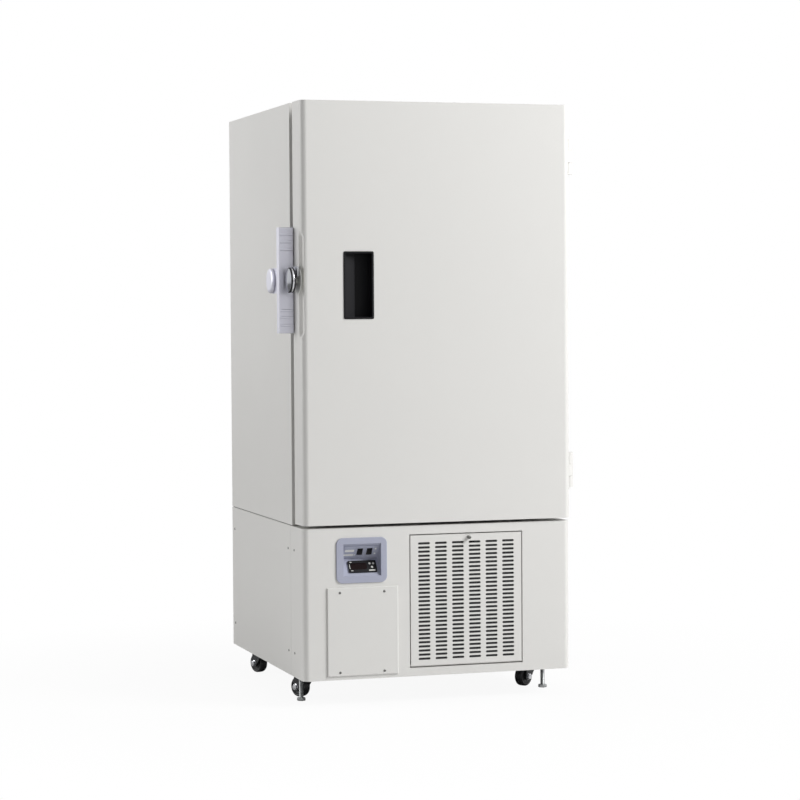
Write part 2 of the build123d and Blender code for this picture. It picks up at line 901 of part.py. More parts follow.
def chassis():
    """Folded floor pan with four tube posts and top rails that carry the cabinet."""
    rim_z = (chassis_z[0], chassis_z[0] + chassis_rim)
    corner = edge_radius - fascia_sheet - seat
    pan = round_front(block(chassis_x, chassis_y, rim_z), chassis_y[0], corner)
    hollow = block(
        (chassis_x[0] + chassis_sheet, chassis_x[1] - chassis_sheet),
        (chassis_y[0] + chassis_sheet, chassis_y[1] - chassis_sheet),
        (chassis_z[1], rim_z[1] + 1),
    )
    pan -= round_front(hollow, chassis_y[0] + chassis_sheet, corner - chassis_sheet)
    pan -= block(
        (vent_x[0] - 3 * vent_gap, vent_x[1] + 3 * vent_gap),
        (chassis_y[0] - 1, chassis_y[0] + chassis_sheet + 1),
        (vent_z[0] - 3 * vent_gap, rim_z[1] + 1),
    )
    for side in (-1, 1):
        pan += rod_z(2 * foot_radius, side * foot_x, foot_y, (chassis_z[1], chassis_z[1] + foot_nut))
        pan -= rod_z(
            foot_radius + running_fit, side * foot_x, foot_y, (chassis_z[0] - 1, chassis_z[1] + foot_nut + 1)
        )
    pieces = [pan]
    post_x = chassis_x[1] - chassis_sheet - 2
    for side in (-1, 1):
        x = sorted((side * post_x, side * (post_x - post_size)))
        for y in post_y:
            post = block(x, (y, y + post_size), (chassis_z[1], cabinet_bottom))
            post -= block(
                (x[0] + post_wall, x[1] - post_wall),
                (y + post_wall, y + post_size - post_wall),
                (chassis_z[1] - 1, cabinet_bottom + 1),
            )
            pieces.append(post)
        rail_y = (post_y[0] + post_size, post_y[1])
        pieces.append(block(x, rail_y, (cabinet_bottom - post_size, cabinet_bottom)))
    return pieces


def front_fascia():
    """Folded front of the base: it wraps both corners and turns back under the door."""
    z = (base_bottom, base_top)
    y_end = base_front + fascia_return
    wrap = round_front(block((left, half_width), (base_front, y_end), z), base_front, edge_radius)
    hollow = block(
        (left + fascia_sheet, half_width - fascia_sheet),
        (base_front + fascia_sheet, y_end + 1),
        (base_bottom - 1, base_top - fascia_sheet),
    )
    wrap -= round_front(hollow, base_front + fascia_sheet, edge_radius - fascia_sheet)
    gap = vent_gap
    wrap -= block(
        (vent_x[0] - gap, vent_x[1] + gap),
        (base_front - 1, base_front + 5),
        (vent_z[0] - gap, vent_z[1] + gap),
    )
    grow = bezel_wall
    wrap -= block(
        (recess_x[0] - grow, recess_x[1] + grow),
        (base_front - 1, base_front + 5),
        (recess_z[0] - grow, recess_z[1] + grow),
    )
    rim_x = (vent_x[0] - gap - fascia_sheet, vent_x[1] + gap + fascia_sheet)
    rim_z = (vent_z[0] - gap - fascia_sheet, vent_z[1] + gap + fascia_sheet)
    wrap += frame_y(rim_x, rim_z, fascia_sheet, (base_front + fascia_sheet, base_front + vent_rim))
    lip_y = base_front + vent_depth + 2
    wrap += frame_y(rim_x, rim_z, vent_lip, (lip_y, lip_y + fascia_sheet))
    for side, x in ((-1, vent_x[0] - gap), (1, vent_x[1] + gap)):
        pin = sorted((x + side * 1, x - side * (gap + 3)))
        wrap += rod_x(vent_pin_radius, pin, vent_pivot[0], vent_pivot[1])
    return wrap


vent_pivot = (base_front + 4.0, base_bottom + vent_bottom + 4.0)


def vent_door():
    """Air intake door: a shallow pan with rows of slots, hinged along its lower edge."""
    y = (base_front, base_front + vent_depth)
    pan = block(vent_x, y, vent_z)
    low_edges = [
        e
        for e in pan.edges().filter_by(Axis.X)
        if abs(e.center().Z - vent_z[0]) < 0.01 and abs(e.center().Y - base_front) < 0.01
    ]
    pan = fillet(low_edges, 3.5)
    wall = fascia_sheet
    pan -= block(
        (vent_x[0] + wall, vent_x[1] - wall),
        (y[0] + wall, y[1] + 1),
        (vent_z[0] + wall, vent_z[1] - wall),
    )
    slots = []
    for column in range(slot_columns):
        x = vent_x[0] + slot_first_left + column * slot_column_pitch
        for row in range(slot_rows):
            z = vent_z[0] + slot_first_bottom + row * slot_row_pitch
            slots.append(
                block((x, x + slot_length), (y[0] - 1, y[0] + wall + 0.5), (z, z + slot_height))
            )
    pan -= slots
    hole = vent_pin_radius + running_fit
    pan -= rod_x(hole, (vent_x[0] - 1, vent_x[1] + 1), vent_pivot[0], vent_pivot[1])
    knob_x = (vent_x[0] + vent_x[1]) / 2 + 6
    pan -= rod_y(2.5 + running_fit, knob_x, (y[0] - 1, y[1]), vent_z[0] + vent_knob_level)
    return pan


def vent_knob():
    """Quarter-turn fastener of the intake door: knob, shaft and a flat tongue behind."""
    x = (vent_x[0] + vent_x[1]) / 2 + 6
    z = vent_z[0] + vent_knob_level
    knob = rod_y(vent_knob_radius, x, (base_front - vent_knob_length, base_front - seat), z)
    tip = knob.edges().filter_by(GeomType.CIRCLE).sort_by(Axis.Y)[0]
    knob = fillet(tip, 1.5)
    knob += rod_y(2.5, x, (base_front - 1, base_front + vent_depth - 3), z)
    return knob + block(
        (x - 4, x + 15), (base_front + vent_depth - 5.5, base_front + vent_depth - 3), (z - 4, z + 4)
    )


def air_filter():
    """Washable filter pad held in the intake door's pan, notched where the fastener turns."""
    wall = fascia_sheet + seat
    knob_x = (vent_x[0] + vent_x[1]) / 2 + 6
    knob_z = vent_z[0] + vent_knob_level
    y = (base_front + wall, base_front + wall + filter_thickness)
    pad = block((vent_x[0] + wall, vent_x[1] - wall), y, (vent_z[0] + 11, knob_z - 9))
    return pad - block(
        (knob_x - tongue_swing, knob_x + tongue_swing),
        (y[0] - 1, y[1] + 1),
        (knob_z - tongue_swing, knob_z),
    )


def side_panels():
    """Flat side panels of the base, behind the seam with the wrapped front."""
    y = (base_front + fascia_return + panel_gap, cabinet_back)
    z = (base_bottom, base_top)
    pieces = []
    for side in (-1, 1):
        outer = sorted((side * half_width, side * (half_width - fascia_sheet)))
        pieces.append(block(outer, y, z))
    return pieces


def rear_grille():
    """Back panel of the base with two fields of air slots."""
    y = (cabinet_back - sheet, cabinet_back)
    panel = block((left + fascia_sheet + seat, half_width - fascia_sheet - seat), y, (base_bottom, base_top))
    slots = []
    for column in range(5):
        x = -260 + column * 110
        for row in range(14):
            z = base_bottom + 120 + row * 16
            slots.append(block((x, x + 80), (y[0] - 1, y[1] + 1), (z, z + 7)))
    panel -= slots
    return panel - block(
        (inlet_x - 14, inlet_x + 14), (y[0] - 1, y[1] + 1), (inlet_z - 10, inlet_z + 10)
    )


inlet_x = 290.0
inlet_z = base_bottom + 60


def mains_inlet():
    """Mains inlet socket in the back panel, with no lead in it."""
    y = cabinet_back
    body = block((inlet_x - 13.5, inlet_x + 13.5), (y - 24, y), (inlet_z - 9.5, inlet_z + 9.5))
    body += block((inlet_x - 22, inlet_x + 22), (y, y + 3), (inlet_z - 14, inlet_z + 14))
    body -= block((inlet_x - 11, inlet_x + 11), (y - 18, y + 4), (inlet_z - 7, inlet_z + 7))
    for x in (-6, 0, 6):
        body += block(
            (inlet_x + x - 1, inlet_x + x + 1), (y - 19, y - 4), (inlet_z - 2.5, inlet_z + 2.5)
        )
    return body


def cover_plate():
    """Raised blank cover at the lower left of the front, for the recorder's place."""
    y = (base_front - cover_proud, base_front)
    plate = block(cover_x, y, cover_z)
    rim = [e for e in plate.edges() if abs(e.center().Y - y[0]) < 0.01]
    plate = chamfer(rim, 1.6)
    return plate - block(
        (cover_x[0] + 2, cover_x[1] - 2),
        (y[0] + fascia_sheet, base_front + 1),
        (cover_z[0] + 2, cover_z[1] - 2),
    )


def panel_screws():
    """Round-headed screws of the cover plate and the base's side panels."""
    heads = []
    y = base_front - cover_proud
    for x in cover_screw_x:
        for z in cover_screw_z:
            screw = rod_y(screw_radius, cover_x[0] + x, (y - screw_head, y), cover_z[0] + z)
            heads.append(screw)
    rows = (94.0 - base_setback, 155.0 - base_setback, 757.0 - base_setback)
    for side in (-1, 1):
        for back in rows:
            for level in (64.0, 336.0):
                x = sorted((side * half_width, side * (half_width + screw_head)))
                heads.append(rod_x(screw_radius, x, base_front + back, base_bottom + level))
    return heads


def slope_frame(low_end, high_end, x):
    """A plane on a slope of the control recess: X across, Y up the slope."""
    middle_y = (low_end[0] + high_end[0]) / 2
    middle_z_here = (low_end[1] + high_end[1]) / 2
    rise = (high_end[0] - low_end[0], high_end[1] - low_end[1])
    length = hypot(*rise)
    normal = (0, -rise[1] / length, rise[0] / length)
    return Plane(origin=(x, middle_y, middle_z_here), x_dir=(1, 0, 0), z_dir=normal)


lower_slope = ((base_front, recess_z[0]), crease)
upper_slope = (crease, (base_front, recess_z[1]))
controller_plane = slope_frame(*lower_slope, recess_mid_x + controller_offset)
switch_plane = slope_frame(*upper_slope, recess_mid_x)


def control_bezel():
    """Moulded surround of the controls: a rounded frame and a V-shaped recess behind it."""
    width = bezel_x[1] - bezel_x[0]
    height = bezel_z[1] - bezel_z[0]
    centre_z = (bezel_z[0] + bezel_z[1]) / 2
    centre_x = (bezel_x[0] + bezel_x[1]) / 2
    face = Plane(origin=(centre_x, base_front, centre_z), x_dir=(1, 0, 0), z_dir=(0, -1, 0))
    frame = extrude(face * RectangleRounded(width, height, bezel_radius), bezel_proud)
    outer_rim = [e for e in frame.edges() if abs(e.center().Y - (base_front - bezel_proud)) < 0.01]
    frame = fillet(outer_rim, 1.5)
    t = bezel_wall
    shell = prism_x(
        [(base_front, recess_z[0] - t), (base_front, recess_z[1] + t), (crease[0] + 1.3 * t, crease[1])],
        (recess_x[0] - t, recess_x[1] + t),
    )
    hollow = prism_x(
        [
            (base_front - 10, recess_z[0]),
            (base_front - 10, recess_z[1]),
            (base_front, recess_z[1]),
            crease,
            (base_front, recess_z[0]),
        ],
        recess_x,
    )
    body = frame + shell - hollow
    body -= extrude(
        controller_plane * Rectangle(controller_body_width + 0.4, controller_body_height + 0.4), 10, both=True
    )
    return body - extrude(
        switch_plane * Rectangle(switch_plate_width - 8, switch_plate_height - 8), 10, both=True
    )


def controller():
    """Panel temperature controller: front frame with a window, and the case behind it."""
    face = extrude(controller_plane * RectangleRounded(controller_width, controller_height, 2), controller_face)
    case = extrude(
        controller_plane * Rectangle(controller_body_width, controller_body_height), -controller_body_depth
    )
    body = face + case
    window = (
        controller_plane
        * Pos(-controller_width * 0.13, 0, controller_face - 1.0)
        * Box(controller_width * 0.58, controller_height * 0.56, 4, align=(Align.CENTER, Align.CENTER, Align.MIN))
    )
    body -= window
    for x, y in button_places:
        body -= controller_plane * Pos(x, y, 0) * Cylinder(button_radius + 0.3, 20)
    pane = (
        controller_plane
        * Pos(-controller_width * 0.13, 0, controller_face - 1.0)
        * Box(
            controller_width * 0.58 - 0.2,
            controller_height * 0.56 - 0.2,
            0.8,
            align=(Align.CENTER, Align.CENTER, Align.MIN),
        )
    )
    return body, pane


button_places = (
    (controller_width * 0.27, controller_height * 0.22),
    (controller_width * 0.40, controller_height * 0.22),
    (controller_width * 0.335, -controller_height * 0.1),
)


def controller_button(place):
    """One round button of the controller, with a short stem."""
    cap = Cylinder(button_radius, 5.0, align=(Align.CENTER, Align.CENTER, Align.MIN))
    cap = fillet(cap.edges().filter_by(GeomType.CIRCLE).sort_by(Axis.Z)[-1], 0.5)
    start = controller_face + button_proud - 5.0
    return controller_plane * Pos(place[0], place[1], start) * cap


rocker_places = (-2.0, 24.0)


def switch_plate():
    """Plate on the upper slope that carries the two rocker switches in their frames."""
    plate = extrude(
        switch_plane * RectangleRounded(switch_plate_width, switch_plate_height, 2), switch_plate_sheet
    )
    for x in rocker_places:
        frame = (
            switch_plane
            * Pos(x, 0, -12)
            * Box(rocker_width + 5, rocker_height + 5, 15, align=(Align.CENTER, Align.CENTER, Align.MIN))
        )
        plate += frame
        plate -= (
            switch_plane
            * Pos(x, 0, -10)
            * Box(rocker_width + 0.8, rocker_height + 3.0, 20, align=(Align.CENTER, Align.CENTER, Align.MIN))
        )
        plate += switch_plane * Pos(x, 0, rocker_axis) * Rot(0, 90, 0) * Cylinder(1.5, rocker_width + 4)
    return plate


rocker_axis = -4.0


def rocker(x):
    """One rocker: a key with two sloped halves that tips about its middle pin."""
    half = rocker_height / 2
    rise = 2.2
    outline = Polyline(
        (-half, 5 + rise), (0, 5), (half, 5 + rise), (half - 2.2, -2.5), (-half + 2.2, -2.5), close=True
    )
    key = extrude(Plane.YZ * make_face(outline), rocker_width / 2, both=True)
    key -= Rot(0, 90, 0) * Cylinder(1.5 + running_fit, rocker_width + 2)
    return switch_plane * Pos(x, 0, rocker_axis) * Rot(-rocker_throw / 2, 0, 0) * key


# Refrigeration machinery
machine_floor = chassis_z[1]
compressor_y = door_front + compressor_back
vent_mid_x = (vent_x[0] + vent_x[1]) / 2
vent_mid_z = (vent_z[0] + vent_z[1]) / 2
condenser_y = (base_front + vent_depth + 16, base_front + vent_depth + 16 + condenser_depth)
grommet = 12.0


def compressors():
    """Two hermetic compressors, one for each stage, each a domed can on a four-eared foot plate."""
    cans = []
    feet = []
    for side in (-1, 1):
        x = side * compressor_spread
        base = machine_floor + grommet
        can = rod_z(compressor_radius, x, compressor_y, (base + 8, base + compressor_height))
        rims = can.edges().filter_by(GeomType.CIRCLE).sort_by(Axis.Z)
        can = fillet(rims[-1], 45)
        can = fillet(can.edges().filter_by(GeomType.CIRCLE).sort_by(Axis.Z)[0], 18)
        can += rod_z(compressor_radius + 4, x, compressor_y, (base + 96, base + 102))
        plate = block(
            (x - compressor_radius - 12, x + compressor_radius + 12),
            (compressor_y - compressor_radius - 12, compressor_y + compressor_radius + 12),
            (base, base + 4),
        )
        plate = fillet(plate.edges().filter_by(Axis.Z), 20)
        can += plate + rod_z(compressor_radius - 24, x, compressor_y, (base, base + 20))
        can += block(
            (x - 30, x + 30),
            (compressor_y - compressor_radius - 26, compressor_y - compressor_radius + 10),
            (base + 110, base + 165),
        )
        reach = compressor_radius - 4
        for dx in (-reach, reach):
            for dy in (-reach, reach):
                foot = rod_z(10, x + dx, compressor_y + dy, (machine_floor, base))
                foot += rod_z(7, x + dx, compressor_y + dy, (base, base + 14))
                can -= rod_z(7, x + dx, compressor_y + dy, (base - 1, base + 5))
                feet.append(foot)
        cans.append(can)
    return cans, feet


def condenser():
    """Finned air-cooled condenser behind the intake: end plates, fins and six tube rows."""
    x = (vent_mid_x - condenser_width / 2, vent_mid_x + condenser_width / 2)
    z = (machine_floor, machine_floor + condenser_height)
    plates = [
        block((x[0], x[0] + 2), condenser_y, z),
        block((x[1] - 2, x[1]), condenser_y, z),
    ]
    core = plates[0] + plates[1]
    fins = 15
    pitch = (condenser_width - 4) / (fins + 1)
    for i in range(fins):
        fin_x = x[0] + 2 + pitch * (i + 1)
        core += block((fin_x - 0.6, fin_x + 0.6), (condenser_y[0] + 3, condenser_y[1] - 3), (z[0] + 6, z[1] - 6))
    rows = 6
    for row in range(rows):
        tube_z = z[0] + 28 + row * (condenser_height - 56) / (rows - 1)
        for tube_y in (condenser_y[0] + 12, condenser_y[1] - 12):
            core += rod_x(5, (x[0] - 10, x[1] + 10), tube_y, tube_z)
    return core


shroud_depth = 70.0
shroud_y = (condenser_y[1], condenser_y[1] + shroud_depth)
fan_y = shroud_y[1] - 22


def fan_shroud():
    """Duct behind the condenser with a round mouth and the bars that hold the motor."""
    x = (vent_mid_x - condenser_width / 2, vent_mid_x + condenser_width / 2)
    z = (machine_floor, machine_floor + condenser_height)
    duct = block(x, shroud_y, z)
    duct -= block((x[0] + 1.5, x[1] - 1.5), (shroud_y[0] - 1, shroud_y[1] - 1.5), (z[0] + 1.5, z[1] - 1.5))
    mid_z = (z[0] + z[1]) / 2
    duct -= rod_y(fan_radius + fan_clearance, vent_mid_x, (shroud_y[1] - 5, shroud_y[1] + 1), mid_z)
    ring = rod_y(fan_radius + fan_clearance + 1.5, vent_mid_x, (shroud_y[1] - 30, shroud_y[1]), mid_z)
    ring -= rod_y(fan_radius + fan_clearance, vent_mid_x, (shroud_y[1] - 31, shroud_y[1] + 1), mid_z)
    duct += ring
    bar_y_range = (shroud_y[1], shroud_y[1] + 4)
    for dz in (-30, 30):
        duct += block(
            (vent_mid_x - fan_radius - 16, vent_mid_x + fan_radius + 16), bar_y_range, (mid_z + dz - 5, mid_z + dz + 5)
        )
    return duct, mid_z


def fan_motor(mid_z):
    """Shaded-pole motor behind the duct, with its shaft towards the condenser."""
    motor = rod_y(34, vent_mid_x, (shroud_y[1] + 4, shroud_y[1] + 58), mid_z)
    motor = fillet(motor.edges().filter_by(GeomType.CIRCLE).sort_by(Axis.Y)[-1], 8)
    motor += block(
        (vent_mid_x - 20, vent_mid_x + 20), (shroud_y[1] + 4, shroud_y[1] + 8), (mid_z - 38, mid_z + 38)
    )
    return motor + rod_y(4, vent_mid_x, (fan_y - 14, shroud_y[1] + 5), mid_z)


def fan_blades(mid_z):
    """Axial fan: a hub and twisted blades lofted from root to tip."""
    hub = rod_y(fan_hub_radius, vent_mid_x, (fan_y - 14, fan_y + 14), mid_z)
    fan = hub - rod_y(4 + running_fit, vent_mid_x, (fan_y - 15, fan_y + 15), mid_z)
    for i in range(fan_blade_count):
        turn = Pos(vent_mid_x, fan_y, mid_z) * Rot(0, 360 / fan_blade_count * i, 0)
        sections = []
        for radius, width, pitch in ((fan_hub_radius - 4, 40, 42), (70, 62, 32), (fan_radius, 74, 24)):
            plane = Plane(origin=(0, 0, radius), x_dir=(1, 0, 0), z_dir=(0, 0, 1))
            sections.append(plane * Rot(0, 0, pitch) * Rectangle(width, 2.4))
        blade = loft(sections)
        fan += turn * blade
    return fan - rod_y(4 + running_fit, vent_mid_x, (fan_y - 15, fan_y + 15), mid_z)


exchanger_x = (-60.0, -60.0 + exchanger_width)
exchanger_y = (door_front + 330, door_front + 330 + exchanger_depth)
exchanger_z = (machine_floor + 20, machine_floor + 20 + exchanger_height)


def cascade_exchanger():
    """Insulated box that holds the plate exchanger between the two cooling stages."""
    box = block(exchanger_x, exchanger_y, exchanger_z)
    box = fillet(box.edges(), 8)
    for x in (exchanger_x[0] + 20, exchanger_x[1] - 20):
        for y in (exchanger_y[0] + 20, exchanger_y[1] - 20):
            box += rod_z(8, x, y, (machine_floor, exchanger_z[0] + 5))
    return box


def refrigerant_pipes():
    """Tubes that join the compressors, condenser, exchanger and evaporator."""
    r = pipe_radius
    top = machine_floor + grommet + compressor_height
    level = top + 80
    out = []
    x_left = -compressor_spread
    x_right = compressor_spread
    out.append(
        pipe(
            [
                (x_left, compressor_y, top + seat),
                (x_left, compressor_y, level),
                (x_left, exchanger_y[0] + 40, level),
                (exchanger_x[0] + 30, exchanger_y[0] + 40, level),
                (exchanger_x[0] + 30, exchanger_y[0] + 40, exchanger_z[1] + seat),
            ],
            [18, 18, 18],
            r,
        )
    )
    out.append(
        pipe(
            [
                (x_right, compressor_y, top + seat),
                (x_right, compressor_y, level),
                (x_right, exchanger_y[1] - 40, level),
                (exchanger_x[1] - 30, exchanger_y[1] - 40, level),
                (exchanger_x[1] - 30, exchanger_y[1] - 40, exchanger_z[1] + seat),
            ],
            [18, 18, 18],
            r,
        )
    )
    return out


def electrics_box():
    """Closed box for the power and control electronics, behind the blank cover."""
    x = (cover_x[0] + 6, cover_x[1] - 16)
    y = (base_front + 14, base_front + 104)
    box = block(x, y, (machine_floor, machine_floor + 200))
    box = fillet(box.edges().filter_by(Axis.Z), 4)
    lid = block((x[0] + 3, x[1] - 3), (y[1], y[1] + 2), (machine_floor + 4, machine_floor + 196))
    for z in (machine_floor + 60, machine_floor + 140):
        lid += rod_y(9, x[0] + 40, (y[1], y[1] + 14), z)
    return box + lid


# Casters and levelling feet
caster_places = {
    "front_left": (-caster_x, door_front + caster_front),
    "front_right": (caster_x, door_front + caster_front),
    "rear_left": (-caster_x, door_front + caster_rear),
    "rear_right": (caster_x, door_front + caster_rear),
}


def caster_plate(place):
    """Fixed part of a caster: plate, bearing race and king pin with its head."""
    x, y = place
    plate = block((x - 30, x + 30), (y - 30, y + 30), (chassis_floor - 3, chassis_floor))
    plate = fillet(plate.edges().filter_by(Axis.Z), 6)
    crown_top = fork_crown + fork_sheet
    plate += Pos(x, y, crown_top + seat) * Cone(19, 24, chassis_floor - crown_top - seat, align=(
        Align.CENTER, Align.CENTER, Align.MIN))
    plate += rod_z(5, x, y, (fork_crown - 4, crown_top + 2))
    return plate + rod_z(9, x, y, (fork_crown - 4, fork_crown - seat))


def caster_fork(name):
    """Swivelling fork: a crown, two cheeks that narrow to the axle, and the axle bolt."""
    x, y = caster_places[name]
    reach = fork_inner + fork_sheet
    crown_z = (fork_crown, fork_crown + fork_sheet)
    crown = block((-24, 22), (-reach, reach), crown_z)
    crown = fillet(crown.edges().filter_by(Axis.Z), 6)
    cheek_face = make_hull(
        (
            Pos(-caster_trail, wheel_radius) * Circle(12)
            + Pos(-18, fork_crown - 1) * Circle(5)
            + Pos(14, fork_crown - 1) * Circle(5)
        ).edges()
    )
    cheek = Rot(90, 0, 0) * extrude(cheek_face, fork_sheet)
    fork = crown + Pos(0, -fork_inner, 0) * cheek + Pos(0, reach, 0) * cheek
    fork -= block((-60, 60), (-60, 60), (crown_z[1], 200))
    fork -= rod_z(5 + running_fit, 0, 0, (crown_z[0] - 10, crown_z[1] + 10))
    fork += rod_y(wheel_bore, -caster_trail, (-reach - 3, reach + 3), wheel_radius)
    for side in (-1, 1):
        head = sorted((side * reach, side * (reach + 5)))
        fork += rod_y(7, -caster_trail, head, wheel_radius)
    return Pos(x, y, 0) * Rot(0, 0, fork_angles[name]) * fork


def caster_wheel(name):
    """Hard wheel with a rounded tread, a dished face and a hub."""
    x, y = caster_places[name]
    half = wheel_width / 2
    hub_half = fork_inner - 0.4
    bore = wheel_bore + running_fit
    outline = Polyline(
        (bore, -hub_half),
        (9, -hub_half),
        (9, -half + 5),
        (wheel_radius - 7, -half + 4),
        (wheel_radius - 5, -half),
        (wheel_radius - 2.5, -half),
        (wheel_radius, -half + 5),
        (wheel_radius, half - 5),
        (wheel_radius - 2.5, half),
        (wheel_radius - 5, half),
        (wheel_radius - 7, half - 4),
        (9, half - 5),
        (9, hub_half),
        (bore, hub_half),
        close=True,
    )
    wheel = revolve(make_face(outline), Axis.Y)
    return Pos(x, y, 0) * Rot(0, 0, fork_angles[name]) * Pos(-caster_trail, 0, wheel_radius) * wheel


def levelling_foot(side):
    """Levelling screw: a hexagon foot on a threaded rod that goes through the floor pan."""
    x = side * foot_x
    head = Pos(x, foot_y, 0) * extrude(RegularPolygon(foot_head_radius, 6), foot_head_height)
    low_rim = [e for e in head.edges() if e.center().Z < 0.01]
    head = chamfer(low_rim, 1.0)
    return head + rod_z(foot_radius, x, foot_y, (foot_head_height - 4, chassis_z[1] + 28))


def build():
    """Makes and writes every node."""
    save("outer_shell", *outer_shell())
    save("cabinet_insulation", cabinet_foam())
    save("inner_liner", inner_liner())
    save("opening_collar", opening_collar())
    save("evaporator_coil", evaporator_coil())
    save("shelf_uprights", *shelf_uprights())
    save("shelves", *[shelf(z) for z in shelf_levels()])
    save("access_port", *access_port())

    save("door_skin", door_skin())
    save("door_insulation", door_foam())
    save("door_liner", door_liner())
    save("door_gasket", door_gasket())
    save("handle_cup", handle_cup())
    cabinet_leaves, door_leaves = hinge_parts()
    save("hinge_brackets", *cabinet_leaves)
    save("door_hinge_leaves", *door_leaves)

    low = aperture_low + inner_door_play
    high = aperture_high - inner_door_play
    half_split = inner_door_split / 2
    save("inner_door_lower", *inner_door(low, middle_z - half_split))
    save("inner_door_upper", *inner_door(middle_z + half_split, high))

    save("striker", *striker())
    save("latch_base", latch_base())
    save("latch_lever", latch_lever())
    save("latch_claw", latch_claw())
    save("latch_knob", latch_knob())

    save("chassis", *chassis())
    save("front_fascia", front_fascia())
    save("side_panels", *side_panels())
    save("rear_grille", rear_grille())
    save("mains_inlet", mains_inlet())
    save("cover_plate", cover_plate())
    save("panel_screws", *panel_screws())
    save("vent_door", vent_door())
    save("vent_knob", vent_knob())
    save("air_filter", air_filter())

    save("control_bezel", control_bezel())
    save("controller", *controller())
    for name, place in zip(("set_button", "up_button", "down_button"), button_places):
        save(name, controller_button(place))
    save("switch_plate", switch_plate())
    save("power_rocker", rocker(rocker_places[0]))
    save("alarm_rocker", rocker(rocker_places[1]))

    cans, feet = compressors()
    save("compressors", *cans)
    save("compressor_feet", *feet)
    save("condenser", condenser())
    shroud, mid_z = fan_shroud()
    save("fan_shroud", shroud)
    save("fan_motor", fan_motor(mid_z))
    save("fan_blades", fan_blades(mid_z))
    save("cascade_exchanger", cascade_exchanger())
    save("refrigerant_pipes", *refrigerant_pipes())
    save("electrics_box", electrics_box())

    save("caster_plates", *[caster_plate(place) for place in caster_places.values()])
    for name in caster_places:
        save(f"caster_fork_{name}", caster_fork(name))
        save(f"caster_wheel_{name}", caster_wheel(name))
    save("foot_left", levelling_foot(-1))
    save("foot_right", levelling_foot(1))


build()
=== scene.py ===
"""Looks of the ultra low temperature freezer: its modelled pieces, finishes, lights and camera.

Sizes are in millimetres, as in the part's source, and become metres where a mesh is made.
+X is to the right of someone facing the freezer, -Y is the front and +Z is up.
"""

import json
import logging
import math
from dataclasses import dataclass, field
from enum import Enum
from typing import Any, Callable, Optional, Sequence, Union

import bpy
from mathutils import Matrix, Vector

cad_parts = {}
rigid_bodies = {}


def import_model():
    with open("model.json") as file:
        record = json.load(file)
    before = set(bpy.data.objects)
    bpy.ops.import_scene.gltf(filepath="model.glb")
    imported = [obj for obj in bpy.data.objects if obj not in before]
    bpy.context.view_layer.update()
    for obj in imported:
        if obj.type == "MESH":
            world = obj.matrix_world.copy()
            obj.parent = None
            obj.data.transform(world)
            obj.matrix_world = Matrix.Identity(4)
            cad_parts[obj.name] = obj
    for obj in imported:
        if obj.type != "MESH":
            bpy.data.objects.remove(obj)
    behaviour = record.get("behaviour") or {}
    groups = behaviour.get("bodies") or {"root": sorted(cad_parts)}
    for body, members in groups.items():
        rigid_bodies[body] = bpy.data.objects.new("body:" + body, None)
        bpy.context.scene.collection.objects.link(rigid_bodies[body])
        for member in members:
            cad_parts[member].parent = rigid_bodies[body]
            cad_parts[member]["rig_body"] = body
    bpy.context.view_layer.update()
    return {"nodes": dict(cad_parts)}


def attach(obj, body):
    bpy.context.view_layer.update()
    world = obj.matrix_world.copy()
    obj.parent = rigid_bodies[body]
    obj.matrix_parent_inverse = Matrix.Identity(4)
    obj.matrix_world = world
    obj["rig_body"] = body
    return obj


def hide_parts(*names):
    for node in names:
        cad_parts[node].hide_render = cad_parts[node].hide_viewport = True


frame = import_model()

log = logging.getLogger("freezer")
MM = 0.001
Point = tuple[float, float, float]
Colour = tuple[float, float, float, float]
Piece = bpy.types.Object


class Way(Enum):
    """A direction of the shared frame, as someone facing the freezer names it."""

    RIGHT = (1.0, 0.0, 0.0)
    LEFT = (-1.0, 0.0, 0.0)
    FRONT = (0.0, -1.0, 0.0)
    UP = (0.0, 0.0, 1.0)
    DOWN = (0.0, 0.0, -1.0)

    @property
    def vector(self) -> Vector:
        """The direction as a vector."""
        return Vector(self.value)


def shade(red: int, green: int, blue: int) -> Colour:
    """Turns a colour as the eye names it, 0 to 255, into the linear one that shaders take.

    Args:
        red: Red part.
        green: Green part.
        blue: Blue part.

    Returns:
        The linear colour with full alpha.
    """
    parts = [part / 255.0 for part in (red, green, blue)]
    linear = [p / 12.92 if p <= 0.04045 else ((p + 0.055) / 1.055) ** 2.4 for p in parts]
    return (linear[0], linear[1], linear[2], 1.0)


class Signal:
    """A shader value that adds, subtracts and multiplies like a number."""

    def __init__(self, recipe: "Recipe", socket: bpy.types.NodeSocket) -> None:
        """Keeps the socket and the material it belongs to."""
        self.recipe = recipe
        self.socket = socket

    def __add__(self, other: "Value") -> "Signal":
        """Adds."""
        return self.recipe.maths("ADD", self, other)

    def __radd__(self, other: "Value") -> "Signal":
        """Adds to a number on the left."""
        return self.recipe.maths("ADD", other, self)

    def __sub__(self, other: "Value") -> "Signal":
        """Subtracts."""
        return self.recipe.maths("SUBTRACT", self, other)

    def __rsub__(self, other: "Value") -> "Signal":
        """Subtracts from a number on the left."""
        return self.recipe.maths("SUBTRACT", other, self)

    def __mul__(self, other: "Value") -> "Signal":
        """Multiplies."""
        return self.recipe.maths("MULTIPLY", self, other)

    def __rmul__(self, other: "Value") -> "Signal":
        """Multiplies a number on the left."""
        return self.recipe.maths("MULTIPLY", other, self)


Value = Union[Signal, float]


